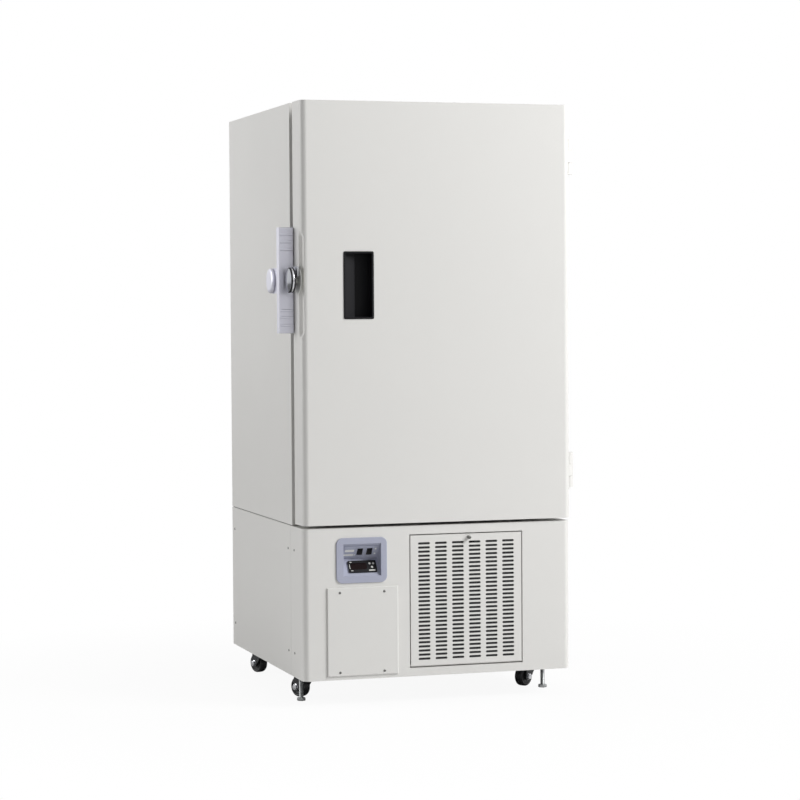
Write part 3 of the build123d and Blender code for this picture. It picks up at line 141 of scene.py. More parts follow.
class Recipe:
    """The node tree of one material, built round a single surface shader."""

    MIX_FACTOR, MIX_LOW, MIX_HIGH, MIX_RESULT = 0, 6, 7, 2

    def __init__(self, name: str) -> None:
        """Starts an empty material with its shader and its Object coordinates.

        Args:
            name: Name of the material.
        """
        self.material = bpy.data.materials.new(name)
        self.material.use_nodes = True
        self.tree = self.material.node_tree
        self.tree.nodes.clear()
        self.place = self.add("ShaderNodeTexCoord").outputs["Object"]
        self.shader = self.add("ShaderNodeBsdfPrincipled")
        self.add("ShaderNodeOutputMaterial", inputs={"Surface": self.shader.outputs["BSDF"]})

    def add(
        self,
        kind: str,
        settings: Optional[dict[str, Any]] = None,
        inputs: Optional[dict[Any, Any]] = None,
    ) -> bpy.types.Node:
        """Adds a node.

        Args:
            kind: Type of the node.
            settings: Values of its own properties.
            inputs: What goes into its sockets, by name or number.

        Returns:
            The new node.
        """
        node = self.tree.nodes.new(kind)
        for key, value in (settings or {}).items():
            setattr(node, key, value)
        for key, value in (inputs or {}).items():
            self.feed(node.inputs[key], value)
        return node

    def feed(self, socket: bpy.types.NodeSocket, value: Any) -> None:
        """Links or writes a value into a socket."""
        if isinstance(value, Signal):
            self.tree.links.new(value.socket, socket)
        elif isinstance(value, bpy.types.NodeSocket):
            self.tree.links.new(value, socket)
        else:
            socket.default_value = value

    def maths(self, operation: str, *values: Value) -> Signal:
        """Combines numbers with one Math node."""
        node = self.add("ShaderNodeMath", {"operation": operation}, dict(enumerate(values)))
        return Signal(self, node.outputs[0])

    def noise(self, scale: float, detail: float = 2.0, stretch: Point = (1.0, 1.0, 1.0)) -> Signal:
        """A cloud pattern, 0 to 1.

        Args:
            scale: Clouds per metre.
            detail: How many finer layers are added.
            stretch: Factor on the scale along each axis.

        Returns:
            The pattern.
        """
        spread = self.add("ShaderNodeMapping", inputs={"Vector": self.place, "Scale": stretch})
        cloud = self.add(
            "ShaderNodeTexNoise",
            inputs={"Vector": spread.outputs["Vector"], "Scale": scale, "Detail": detail},
        )
        return Signal(self, cloud.outputs["Fac"])

    def cells(self, scale: float) -> Signal:
        """A cell pattern, as the distance to each cell's middle, with its cells per metre."""
        texture = self.add("ShaderNodeTexVoronoi", inputs={"Vector": self.place, "Scale": scale})
        return Signal(self, texture.outputs["Distance"])

    def mix(self, factor: Value, low: Colour, high: Colour) -> bpy.types.NodeSocket:
        """Blends two colours."""
        inputs = {self.MIX_FACTOR: factor, self.MIX_LOW: low, self.MIX_HIGH: high}
        node = self.add("ShaderNodeMix", {"data_type": "RGBA"}, inputs)
        return node.outputs[self.MIX_RESULT]

    def bump(self, height: Value, distance: float, strength: float) -> None:
        """Raises the surface by a pattern.

        Args:
            height: The pattern.
            distance: Height of the pattern in millimetres.
            strength: How much of it shows.
        """
        inputs = {"Height": height, "Distance": distance * MM, "Strength": strength}
        node = self.add("ShaderNodeBump", inputs=inputs)
        self.feed(self.shader.inputs["Normal"], node.outputs["Normal"])

    def dress(self, **sockets: Any) -> bpy.types.Material:
        """Fills the shader's sockets, with spaces for underscores, and returns the material."""
        for key, value in sockets.items():
            self.feed(self.shader.inputs[key.replace("_", " ")], value)
        return self.material


@dataclass(frozen=True)
class Paint:
    """Baked powder coat or enamel, with a faint orange peel and soft clouds of tone."""

    name: str
    tone: Colour
    second_tone: Colour
    roughness: float = 0.42
    peel_scale: float = 520.0
    peel_height: float = 0.05
    metallic: float = 0.0

    def make(self) -> bpy.types.Material:
        """Builds the material."""
        recipe = Recipe(self.name)
        clouds = recipe.noise(3.0, 3.0)
        speck = recipe.noise(self.peel_scale, 2.0)
        recipe.bump(speck + recipe.noise(self.peel_scale * 0.35, 1.0), self.peel_height, 0.35)
        return recipe.dress(
            Base_Color=recipe.mix(clouds * 0.6 + speck * 0.4, self.tone, self.second_tone),
            Roughness=self.roughness - 0.05 + clouds * 0.1,
            Metallic=self.metallic,
        )


@dataclass(frozen=True)
class Plastic:
    """Moulded plastic with a spark-eroded grain."""

    name: str
    tone: Colour
    second_tone: Colour
    roughness: float = 0.45
    grain_scale: float = 1400.0
    grain_height: float = 0.04
    gloss: float = 0.5

    def make(self) -> bpy.types.Material:
        """Builds the material."""
        recipe = Recipe(self.name)
        grain = recipe.noise(self.grain_scale, 3.0)
        smears = recipe.noise(14.0, 4.0)
        recipe.bump(grain, self.grain_height, 0.5)
        return recipe.dress(
            Base_Color=recipe.mix(smears, self.tone, self.second_tone),
            Roughness=self.roughness - 0.06 + smears * 0.12,
            Specular_IOR_Level=self.gloss,
        )


@dataclass(frozen=True)
class Metal:
    """Bare or plated metal: brushed where it is stretched along an axis, clouded where it isn't."""

    name: str
    tone: Colour
    second_tone: Colour
    roughness: float = 0.3
    streak: Point = (1.0, 1.0, 1.0)
    streak_scale: float = 260.0
    streak_height: float = 0.01
    spangle: float = 0.0

    def make(self) -> bpy.types.Material:
        """Builds the material."""
        recipe = Recipe(self.name)
        streaks = recipe.noise(self.streak_scale, 4.0, self.streak)
        mottle = recipe.noise(9.0, 4.0)
        pattern: Value = streaks * 0.5 + mottle * 0.5
        if self.spangle > 0.0:
            pattern = pattern * 0.5 + recipe.cells(self.spangle) * 0.6
        recipe.bump(streaks, self.streak_height, 0.4)
        return recipe.dress(
            Base_Color=recipe.mix(pattern, self.tone, self.second_tone),
            Roughness=self.roughness - 0.06 + streaks * 0.12,
            Metallic=1.0,
        )


@dataclass(frozen=True)
class Foam:
    """Cellular foam, rigid or open, with visible cells."""

    name: str
    tone: Colour
    second_tone: Colour
    cell_scale: float = 900.0
    depth: float = 0.4

    def make(self) -> bpy.types.Material:
        """Builds the material."""
        recipe = Recipe(self.name)
        cells = recipe.cells(self.cell_scale)
        recipe.bump(cells, self.depth, 0.8)
        stain = recipe.noise(6.0, 3.0)
        return recipe.dress(
            Base_Color=recipe.mix(cells * 0.7 + stain * 0.3, self.tone, self.second_tone),
            Roughness=0.92,
        )


@dataclass(frozen=True)
class Fins:
    """Pressed aluminium fins that stand close together across the width, drawn as stripes whose
    dark grey is painted shade in the gaps between the fins.
    """

    name: str
    tone: Colour
    second_tone: Colour
    pitch: float = 2.2
    waves_per_scale: float = 20.0

    def make(self) -> bpy.types.Material:
        """Builds the material."""
        recipe = Recipe(self.name)
        scale = 1.0 / (self.pitch * MM) / self.waves_per_scale
        inputs = {"Vector": recipe.place, "Scale": scale, "Distortion": 0.0}
        wave = Signal(recipe, recipe.add("ShaderNodeTexWave", inputs=inputs).outputs["Fac"])
        recipe.bump(wave, 1.0, 1.0)
        # Stripes at the fin pitch: their dark end is painted shade between the fins
        return recipe.dress(
            Base_Color=recipe.mix(wave, self.tone, self.second_tone),
            Roughness=0.35 + 0.1 * wave,
            Metallic=1.0,
        )


@dataclass(frozen=True)
class Pane:
    """Dark tinted window of the display, polished, with the faintest smears."""

    name: str
    tone: Colour
    second_tone: Colour

    def make(self) -> bpy.types.Material:
        """Builds the material."""
        recipe = Recipe(self.name)
        smears = recipe.noise(60.0, 4.0)
        recipe.bump(smears, 0.01, 0.1)
        return recipe.dress(
            Base_Color=recipe.mix(smears, self.tone, self.second_tone),
            Roughness=0.12 + smears * 0.05,
            Specular_IOR_Level=0.12,
        )


Finish = Union[Paint, Plastic, Metal, Foam, Fins, Pane]

FINISHES: dict[str, Finish] = {
    "cabinet_paint": Paint("cabinet_paint", shade(226, 225, 222), shade(221, 220, 217)),
    "latch_paint": Paint(
        "latch_paint", shade(216, 216, 226), shade(208, 208, 219), 0.36, 900.0, 0.03, metallic=0.85
    ),
    "machine_paint": Paint(
        "machine_paint", shade(26, 27, 30), shade(38, 39, 42), 0.36, 600.0, 0.06
    ),
    "panel_plastic": Plastic("panel_plastic", shade(172, 175, 192), shade(165, 168, 186), 0.5),
    "light_plastic": Plastic("light_plastic", shade(232, 232, 228), shade(224, 224, 219), 0.4),
    "black_plastic": Plastic(
        "black_plastic", shade(13, 13, 16), shade(20, 20, 24), 0.46, gloss=0.18
    ),
    "wheel_nylon": Plastic("wheel_nylon", shade(20, 20, 22), shade(34, 34, 37), 0.5, 700.0, 0.08),
    "seal_rubber": Plastic("seal_rubber", shade(96, 97, 96), shade(82, 83, 82), 0.7, 800.0, 0.06),
    "black_rubber": Plastic("black_rubber", shade(28, 28, 29), shade(42, 42, 43), 0.78, 600.0, 0.1),
    "steel": Metal(
        "steel", shade(200, 202, 204), shade(178, 180, 183), 0.34, (1.0, 1.0, 0.04), 420.0
    ),
    "zinc_steel": Metal(
        "zinc_steel", shade(182, 184, 184), shade(148, 150, 150), 0.42, spangle=130.0
    ),
    "chrome": Metal(
        "chrome", shade(222, 223, 226), shade(205, 206, 210), 0.12, streak_height=0.004
    ),
    # The aluminium's dark grey is painted shade in the gaps between its fins
    "aluminium": Fins("aluminium", shade(196, 198, 200), shade(120, 122, 124)),
    "copper": Metal("copper", shade(201, 128, 92), shade(150, 92, 66), 0.3),
    "foam": Foam("foam", shade(226, 205, 150), shade(206, 180, 122)),
    "screw_zinc": Metal("screw_zinc", shade(128, 128, 126), shade(96, 96, 94), 0.42),
    "dark_chrome": Metal(
        "dark_chrome", shade(176, 178, 184), shade(150, 152, 158), 0.16, streak_height=0.004
    ),
    "window": Pane("window", shade(14, 3, 5), shade(26, 6, 9)),
}


SLOT_NODES: dict[str, str] = {
    "cabinet_paint": "outer_shell side_panels front_fascia rear_grille cover_plate door_skin "
    "vent_door hinge_brackets door_hinge_leaves",
    "foam": "cabinet_insulation door_insulation",
    "steel": "inner_liner shelf_uprights shelves latch_base latch_claw",
    "light_plastic": "opening_collar access_port door_liner inner_door_upper inner_door_lower "
    "set_button up_button down_button",
    "copper": "evaporator_coil refrigerant_pipes",
    "zinc_steel": "chassis caster_plates fan_shroud electrics_box foot_left foot_right",
    "black_plastic": "mains_inlet controller striker fan_blades power_rocker alarm_rocker "
    "handle_cup",
    "chrome": "panel_screws vent_knob",
    "panel_plastic": "control_bezel switch_plate",
    "machine_paint": "compressors fan_motor caster_fork_front_left caster_fork_front_right "
    "caster_fork_rear_left caster_fork_rear_right",
    "black_rubber": "compressor_feet cascade_exchanger air_filter",
    "aluminium": "condenser",
    "seal_rubber": "door_gasket",
    "latch_paint": "latch_lever latch_knob",
    "wheel_nylon": "caster_wheel_front_left caster_wheel_front_right caster_wheel_rear_left "
    "caster_wheel_rear_right",
}
NODE_FINISH: dict[str, str] = {
    node: slot for slot, nodes in SLOT_NODES.items() for node in nodes.split()
}


class Wardrobe:
    """Makes each finish once and hands it out."""

    def __init__(self) -> None:
        """Starts with no material made."""
        self.made: dict[str, bpy.types.Material] = {}

    def get(self, name: str) -> bpy.types.Material:
        """Returns the material of that name, made on first use."""
        if name not in self.made:
            self.made[name] = FINISHES[name].make()
        return self.made[name]

    def wear(self, piece: Piece, name: str) -> None:
        """Gives a whole piece one finish."""
        piece.data.materials.clear()
        piece.data.materials.append(self.get(name))


WARDROBE = Wardrobe()


class Shop:
    """Modelling steps as by hand: one piece is taken, and its parts are picked in code."""

    LATHE_WELD = 0.01 * MM
    REDRAW_WELD = 0.005 * MM
    FLAT = math.radians(0.5)

    @staticmethod
    def take(piece: Optional[Piece] = None) -> None:
        """Deselects everything, then selects the piece and makes it active."""
        if bpy.context.mode != "OBJECT":
            bpy.ops.object.mode_set(mode="OBJECT")
        bpy.ops.object.select_all(action="DESELECT")
        if piece is not None:
            piece.select_set(True)
            bpy.context.view_layer.objects.active = piece

    @staticmethod
    def christen(name: str) -> Piece:
        """Names the active object and its mesh, and returns it."""
        piece = bpy.context.active_object
        piece.name = piece.data.name = name
        return piece

    @classmethod
    def settle(cls, piece: Piece) -> Piece:
        """Puts the object at the origin, unturned and unscaled, with its place in its mesh."""
        cls.take(piece)
        bpy.ops.object.transform_apply(location=True, rotation=True, scale=True)
        return piece

    @classmethod
    def brick(cls, name: str, low: Point, high: Point) -> Piece:
        """Adds a box between two corners.

        Args:
            name: Name of the piece.
            low: Lowest corner in millimetres.
            high: Highest corner in millimetres.

        Returns:
            The piece, settled.
        """
        cls.take()
        middle = [(a + b) / 2 * MM for a, b in zip(low, high)]
        bpy.ops.mesh.primitive_cube_add(size=1.0, location=middle)
        piece = cls.christen(name)
        piece.scale = [(b - a) * MM for a, b in zip(low, high)]
        return cls.settle(piece)

    @classmethod
    def pick(cls, piece: Piece, kind: str, test: Callable[..., bool]) -> None:
        """Selects faces or edges in code and leaves the piece in edit mode.

        Args:
            piece: The piece.
            kind: FACE, tested by centre and normal, or EDGE, tested by its two ends.
            test: True for what is wanted, in millimetres.
        """
        cls.take(piece)
        bpy.ops.object.mode_set(mode="EDIT")
        bpy.ops.mesh.select_mode(type=kind)
        bpy.ops.mesh.select_all(action="DESELECT")
        bpy.ops.object.mode_set(mode="OBJECT")
        mesh = piece.data
        if kind == "FACE":
            for face in mesh.polygons:
                face.select = bool(test(face.center / MM, face.normal))
        else:
            for edge in mesh.edges:
                ends = [mesh.vertices[i].co / MM for i in edge.vertices]
                edge.select = bool(test(ends[0], ends[1]))
        bpy.ops.object.mode_set(mode="EDIT")

    @classmethod
    def round_edges(
        cls, piece: Piece, width: float, steps: int, test: Callable[..., bool]
    ) -> Piece:
        """Bevels the picked edges by a width in millimetres."""
        cls.pick(piece, "EDGE", test)
        bpy.ops.mesh.bevel(offset=width * MM, segments=steps, affect="EDGES")
        bpy.ops.object.mode_set(mode="OBJECT")
        return piece

    @classmethod
    def modify(cls, piece: Piece, kind: str, **settings: Any) -> Piece:
        """Adds a modifier and applies it."""
        cls.take(piece)
        modifier = piece.modifiers.new(kind.lower(), kind)
        for key, value in settings.items():
            setattr(modifier, key, value)
        bpy.ops.object.modifier_apply(modifier=modifier.name)
        return piece

    @classmethod
    def soften(cls, piece: Piece, width: float, steps: int = 2, angle: float = 40.0) -> Piece:
        """Breaks every sharp edge by a small bevel and smooths the shading."""
        cls.modify(
            piece,
            "BEVEL",
            width=width * MM,
            segments=steps,
            limit_method="ANGLE",
            angle_limit=math.radians(angle),
            use_clamp_overlap=True,
        )
        return cls.smooth(piece)

    @classmethod
    def smooth(cls, piece: Piece, angle: float = 35.0) -> Piece:
        """Smooths the shading up to an angle."""
        cls.take(piece)
        bpy.ops.object.shade_smooth_by_angle(angle=math.radians(angle))
        return cls.modify(piece, "WEIGHTED_NORMAL", weight=100, keep_sharp=True)

    @classmethod
    def cut(cls, piece: Piece, cutter: Piece) -> None:
        """Cuts one piece with another, and removes the cutter."""
        cls.modify(piece, "BOOLEAN", operation="DIFFERENCE", object=cutter, solver="EXACT")
        bpy.data.objects.remove(cutter)

    @classmethod
    def lathe(cls, name: str, outline: Sequence[tuple[float, float]], steps: int) -> Piece:
        """Spins an outline about the Z axis.

        Args:
            name: Name of the piece.
            outline: Points as (radius, height) in millimetres.
            steps: Facets round the turn.

        Returns:
            The closed piece, standing on the origin.
        """
        cls.take()
        bpy.ops.mesh.primitive_plane_add(size=1.0)
        piece = cls.christen(name)
        bpy.ops.object.mode_set(mode="EDIT")
        bpy.ops.mesh.select_mode(type="VERT")
        bpy.ops.mesh.select_all(action="SELECT")
        bpy.ops.mesh.merge(type="CENTER")
        spot = Vector((0.0, 0.0))
        for number, point in enumerate(outline):
            step = Vector(point) * MM - spot
            move = {"value": (step.x, 0.0, step.y)}
            if number == 0:
                bpy.ops.transform.translate(**move)
            else:
                bpy.ops.mesh.extrude_region_move(TRANSFORM_OT_translate=move)
            spot = spot + step
        bpy.ops.mesh.select_all(action="SELECT")
        bpy.ops.mesh.spin(steps=steps, angle=math.tau, center=(0, 0, 0), axis=Way.UP.value)
        bpy.ops.mesh.select_all(action="SELECT")
        bpy.ops.mesh.remove_doubles(threshold=cls.LATHE_WELD)
        bpy.ops.mesh.normals_make_consistent(inside=False)
        bpy.ops.object.mode_set(mode="OBJECT")
        return cls.smooth(piece)

    @classmethod
    def hexagon(cls, name: str, radius: float, low: float, high: float, edge: float) -> Piece:
        """Models a six-sided head on the Z axis, with broken edges.

        Args:
            name: Name of the piece.
            radius: Half of its width over the corners, in millimetres.
            low: Level of its underside.
            high: Level of its top.
            edge: Width of the broken edges.

        Returns:
            The piece.
        """
        cls.take()
        bpy.ops.mesh.primitive_cylinder_add(
            vertices=6,
            radius=radius * MM,
            depth=(high - low) * MM,
            location=(0, 0, (low + high) / 2 * MM),
        )
        return cls.soften(cls.settle(cls.christen(name)), edge)

    @classmethod
    def place(cls, piece: Piece, spot: Point, up: Vector, side: Optional[Vector] = None) -> Piece:
        """Turns the piece's Z axis to a direction, moves it to a spot and settles it.

        Args:
            piece: The piece, built at the origin.
            spot: Where its origin goes, in millimetres.
            up: Where its Z axis points.
            side: Where its X axis points, as nearly as it can.

        Returns:
            The piece.
        """
        height = Vector(up).normalized()
        across = Vector(side) if side is not None else height.orthogonal()
        across = (across - height * across.dot(height)).normalized()
        turn = Matrix((across, height.cross(across), height)).transposed().to_4x4()
        piece.matrix_world = Matrix.Translation(Vector(spot) * MM) @ turn
        return cls.settle(piece)

    @classmethod
    def copy(cls, piece: Piece, name: str) -> Piece:
        """Copies a piece with its own mesh."""
        cls.take(piece)
        bpy.ops.object.duplicate(linked=False)
        return cls.christen(name)

    @classmethod
    def join(cls, name: str, pieces: Sequence[Piece]) -> Piece:
        """Joins pieces into one."""
        cls.take(pieces[0])
        for piece in pieces[1:]:
            piece.select_set(True)
        bpy.ops.object.join()
        return cls.christen(name)

    @classmethod
    def redraw(cls, node: str, name: str, edge: float = 0.0) -> Piece:
        """Copies a CAD node's shape, merges it, and gives it smooth shading and broken edges.

        Args:
            node: Name of the CAD node.
            name: Name of the new piece.
            edge: Width of the bevel in millimetres, or 0 for none.

        Returns:
            The new piece, which stands for the node.
        """
        piece = bpy.data.objects.new(name, frame["nodes"][node].data.copy())
        bpy.context.scene.collection.objects.link(piece)
        piece.data.name = name
        cls.take(piece)
        bpy.ops.object.mode_set(mode="EDIT")
        bpy.ops.mesh.select_all(action="SELECT")
        bpy.ops.mesh.remove_doubles(threshold=cls.REDRAW_WELD)
        bpy.ops.mesh.dissolve_limited(angle_limit=cls.FLAT)
        bpy.ops.object.mode_set(mode="OBJECT")
        if piece.data.has_custom_normals:
            bpy.ops.mesh.customdata_custom_splitnormals_clear()
        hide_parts(node)
        if edge > 0.0:
            return cls.soften(piece, edge)
        return cls.smooth(piece)


def finish_piece(piece: Piece, body: str, slot: str, *nodes: str, finish: str = "") -> Piece:
    """Dresses a piece, rides it on its body and hides the CAD nodes that it stands for.

    Args:
        piece: The piece.
        body: The body that carries it.
        slot: Its finish, a material slot of the record.
        nodes: CAD nodes that it stands for.
        finish: Its look, where it differs from that slot's.

    Returns:
        The piece.
    """
    WARDROBE.wear(piece, finish or slot)
    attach(piece, body)
    if nodes:
        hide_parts(*nodes)
    log.info("%s on %s: %d faces", piece.name, body, len(piece.data.polygons))
    return piece


@dataclass
class Shells:
    """Sheet metal and castings as in the CAD, with smooth shading and broken edges."""

    edges: dict[str, float] = field(
        default_factory=lambda: {
            "door_skin": 0.6,
            "front_fascia": 0.4,
            "cover_plate": 0.5,
            "control_bezel": 0.5,
            "latch_lever": 0.6,
            "handle_cup": 0.4,
        }
    )

    def build(self) -> None:
        """Redraws each of them and dresses it as its node."""
        for node, edge in self.edges.items():
            source = frame["nodes"][node]
            piece = Shop.redraw(node, f"{node}_dressed", edge)
            finish_piece(piece, source["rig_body"], NODE_FINISH[node])


@dataclass
class IntakeDoor:
    """Slotted intake door of the machine base with its quarter-turn knob."""

    low: Point = (-78.0, -386.5, 95.0)
    high: Point = (232.0, -374.5, 442.0)
    sheet: float = 1.5
    roll: float = 3.5
    columns: int = 6
    rows: int = 29
    first: tuple[float, float] = (-57.0, 112.0)
    pitch: tuple[float, float] = (47.0, 10.9)
    slot: tuple[float, float] = (33.0, 6.0)
    knob: Point = (83.0, -386.8, 433.0)
    knob_radius: float = 4.5
    knob_length: float = 11.7
    knob_rounding: float = 1.3
    coin_slot: float = 1.2
    shaft_radius: float = 2.5
    shaft_tail: float = -9.5

    def panel(self) -> Piece:
        """Models the pan and punches its slots."""
        pan = Shop.brick("intake_panel", self.low, self.high)
        front = self.low[1]
        Shop.round_edges(
            pan,
            self.roll,
            4,
            lambda a, b: max(abs(a.y - front), abs(b.y - front), abs(a.z - self.low[2])) < 0.01
            and abs(b.z - self.low[2]) < 0.01,
        )
        Shop.pick(pan, "FACE", lambda centre, normal: normal.y > 0.99)
        bpy.ops.mesh.delete(type="FACE")
        bpy.ops.object.mode_set(mode="OBJECT")
        Shop.modify(pan, "SOLIDIFY", thickness=self.sheet * MM, offset=-1.0, use_even_offset=True)
        width, height = self.slot
        low = (self.first[0], front - 2.0, self.first[1])
        high = (low[0] + width, front + self.sheet + 2.0, low[2] + height)
        punch = Shop.brick("punch", low, high)
        Shop.round_edges(
            punch, height / 2 - 0.02, 5, lambda a, b: abs(a.x - b.x) + abs(a.z - b.z) < 0.01
        )
        for axis, count, pitch in ((0, self.columns, self.pitch[0]), (2, self.rows, self.pitch[1])):
            offset = [0.0, 0.0, 0.0]
            offset[axis] = pitch * MM
            Shop.modify(
                punch,
                "ARRAY",
                count=count,
                use_relative_offset=False,
                use_constant_offset=True,
                constant_offset_displace=offset,
            )
        Shop.cut(pan, punch)
        return Shop.soften(pan, 0.3)

    def fastener(self) -> Piece:
        """Models the knob with its coin slot, its shaft and the tongue behind."""
        radius, length, rounding = self.knob_radius, self.knob_length, self.knob_rounding
        shaft, tail, groove = self.shaft_radius, self.shaft_tail, self.coin_slot
        head = (
            (0.0, length),
            (radius - rounding, length),
            (radius - rounding / 4, length - rounding / 2),
            (radius, length - rounding),
        )
        collar = ((radius, 2.0), (radius - 0.5, 1.4), (radius, 1.0), (radius, 0.0))
        stem = ((shaft, 0.0), (shaft, tail), (0.0, tail))
        knob = Shop.lathe("intake_knob", head + collar + stem, 40)
        low = (-radius - groove, -groove / 2, length - 1.6)
        Shop.cut(knob, Shop.brick("coin", low, (radius + groove, groove / 2, length + 1)))
        Shop.place(knob, self.knob, Way.FRONT.vector, Way.RIGHT.vector)
        x, y, z = self.knob
        back = self.high[1]
        tongue = Shop.brick("tongue", (x - 4, back - 5.5, z - 4), (x + 15, back - 3, z + 4))
        Shop.soften(tongue, 0.5)
        return Shop.join("intake_knob", [knob, tongue])

    def build(self) -> None:
        """Builds the panel and the knob."""
        finish_piece(self.panel(), "intake_door", "cabinet_paint", "vent_door")
        finish_piece(self.fastener(), "intake_fastener", "chrome", "vent_knob", finish="screw_zinc")


@dataclass
class SideLatch:
    """Striker on the door's side and the turning knob of the latch."""

    striker: Point = (-371.0, -360.0, 1114.0)
    seat_radius: float = 36.0
    head_radius: float = 33.0
    neck_radius: float = 8.0
    gap: float = 14.0
    head: float = 12.0
    dome: float = 4.0
    dome_steps: int = 8
    ring: float = 4.0
    pivot: Point = (-397.3, -193.5, 1114.0)
    knob_radius: float = 33.0
    knob_thickness: float = 9.5

    def build(self) -> None:
        """Builds the striker's seat, head, ring and dome, and the pivot knob."""
        out = Way.LEFT.vector
        r, g, h = self.head_radius, self.gap, self.head
        base, neck = self.seat_radius, self.neck_radius
        seat = ((0.0, 0.0), (base, 0.0), (base - 0.6, 1.2), (r, 2.0),
                (neck + 2, 2.0), (neck, 4.0), (neck, g), (0.0, g))
        lip, mid = g + (h - self.ring) / 2, g + (h + self.ring) / 2
        head = ((0.0, g - 0.2), (r - 2.0, g - 0.2), (r, g + 1.6), (r, lip - 0.4), (r - 1.0, lip),
                (r - 1.0, mid), (r, mid + 0.4), (r, g + h - 1.4), (r - 1.6, g + h), (0.0, g + h))
        ring = ((r - 2.0, lip + 0.1), (r + 0.1, lip + 0.1), (r + 0.4, lip + 0.6),
                (r + 0.4, mid - 0.6), (r + 0.1, mid - 0.1), (r - 2.0, mid - 0.1),
                (r - 2.0, lip + 0.1))
        cap = [(0.0, g + h - 0.5), (r - 2.2, g + h - 0.5)]
        for number in range(self.dome_steps + 1):
            radius = (r - 2.2) * (1.0 - number / self.dome_steps)
            cap.append((radius, g + h + self.dome * (1.0 - (radius / r) ** 2)))
        # The seat is a real base of the striker; its pale plastic is partly its own colour and
        # partly a painted highlight on the door's scooped edge beside the knob
        parts = (
            ("striker_seat", seat, "light_plastic"), ("striker_head", head, "black_plastic"),
            ("striker_ring", ring, "chrome"), ("striker_dome", tuple(cap), "chrome"),
        )
        for name, outline, slot in parts:
            piece = Shop.place(Shop.lathe(name, outline, 72), self.striker, out)
            look = "dark_chrome" if name == "striker_dome" else ""
            finish_piece(piece, "door", slot, "striker", finish=look)
        k, t = self.knob_radius, self.knob_thickness
        knob = ((4.0, 0.0), (k - 1.5, 0.0), (k, 0.8), (k, 1.8), (k - 0.7, 2.1), (k - 0.7, 2.5),
                (k, 2.8), (k, t - 4.5), (k - 0.6, t - 2.6), (k - 2.2, t - 1.0), (k - 5.0, t - 0.25),
                (k - 9.0, t), (0.0, t), (0.0, 4.5), (4.0, 4.5), (4.0, 0.0))
        piece = Shop.place(Shop.lathe("pivot_disc", knob, 72), self.pivot, out)
        finish_piece(piece, "pivot_knob", "latch_paint", "latch_knob")


@dataclass
class Screws:
    """Round-headed cross-recess screws of the cover plate and the side panels."""

    radius: float = 3.4
    height: float = 1.6
    cover_y: float = -391.0
    cover_x: tuple[float, float] = (-273.0, -152.0)
    cover_z: tuple[float, float] = (90.0, 299.0)
    side_x: float = 371.0
    side_y: tuple[float, ...] = (-299.5, -238.5, 363.5)
    side_z: tuple[float, float] = (134.0, 406.0)

    def model(self) -> Piece:
        """Models one screw head standing on the origin."""
        r, h = self.radius, self.height
        rim = ((r, 0.0), (r, 0.4), (r - 0.4, 0.9), (r - 1.2, 1.35), (r - 2.2, h))
        head = Shop.lathe("screw", ((0.0, 0.0),) + rim + ((0.0, h),), 28)
        for name, size in (("slot_a", (2.0, 0.4)), ("slot_b", (0.4, 2.0))):
            blade = Shop.brick(name, (-size[0], -size[1], 0.7), (size[0], size[1], h + 1))
            Shop.cut(head, blade)
        return head

    def build(self) -> None:
        """Copies the screw to every place."""
        model = self.model()
        spots: list[tuple[Point, Vector]] = []
        for x in self.cover_x:
            for z in self.cover_z:
                spots.append(((x, self.cover_y, z), Way.FRONT.vector))
        for side, way in ((-1, Way.LEFT), (1, Way.RIGHT)):
            for y in self.side_y:
                for z in self.side_z:
                    spots.append(((side * self.side_x, y, z), way.vector))
        heads = []
        for number, (spot, out) in enumerate(spots):
            heads.append(Shop.place(Shop.copy(model, f"screw_{number}"), spot, out))
        bpy.data.objects.remove(model)
        screws = Shop.join("panel_screw_heads", heads)
        finish_piece(screws, "cabinet", "chrome", "panel_screws", finish="screw_zinc")


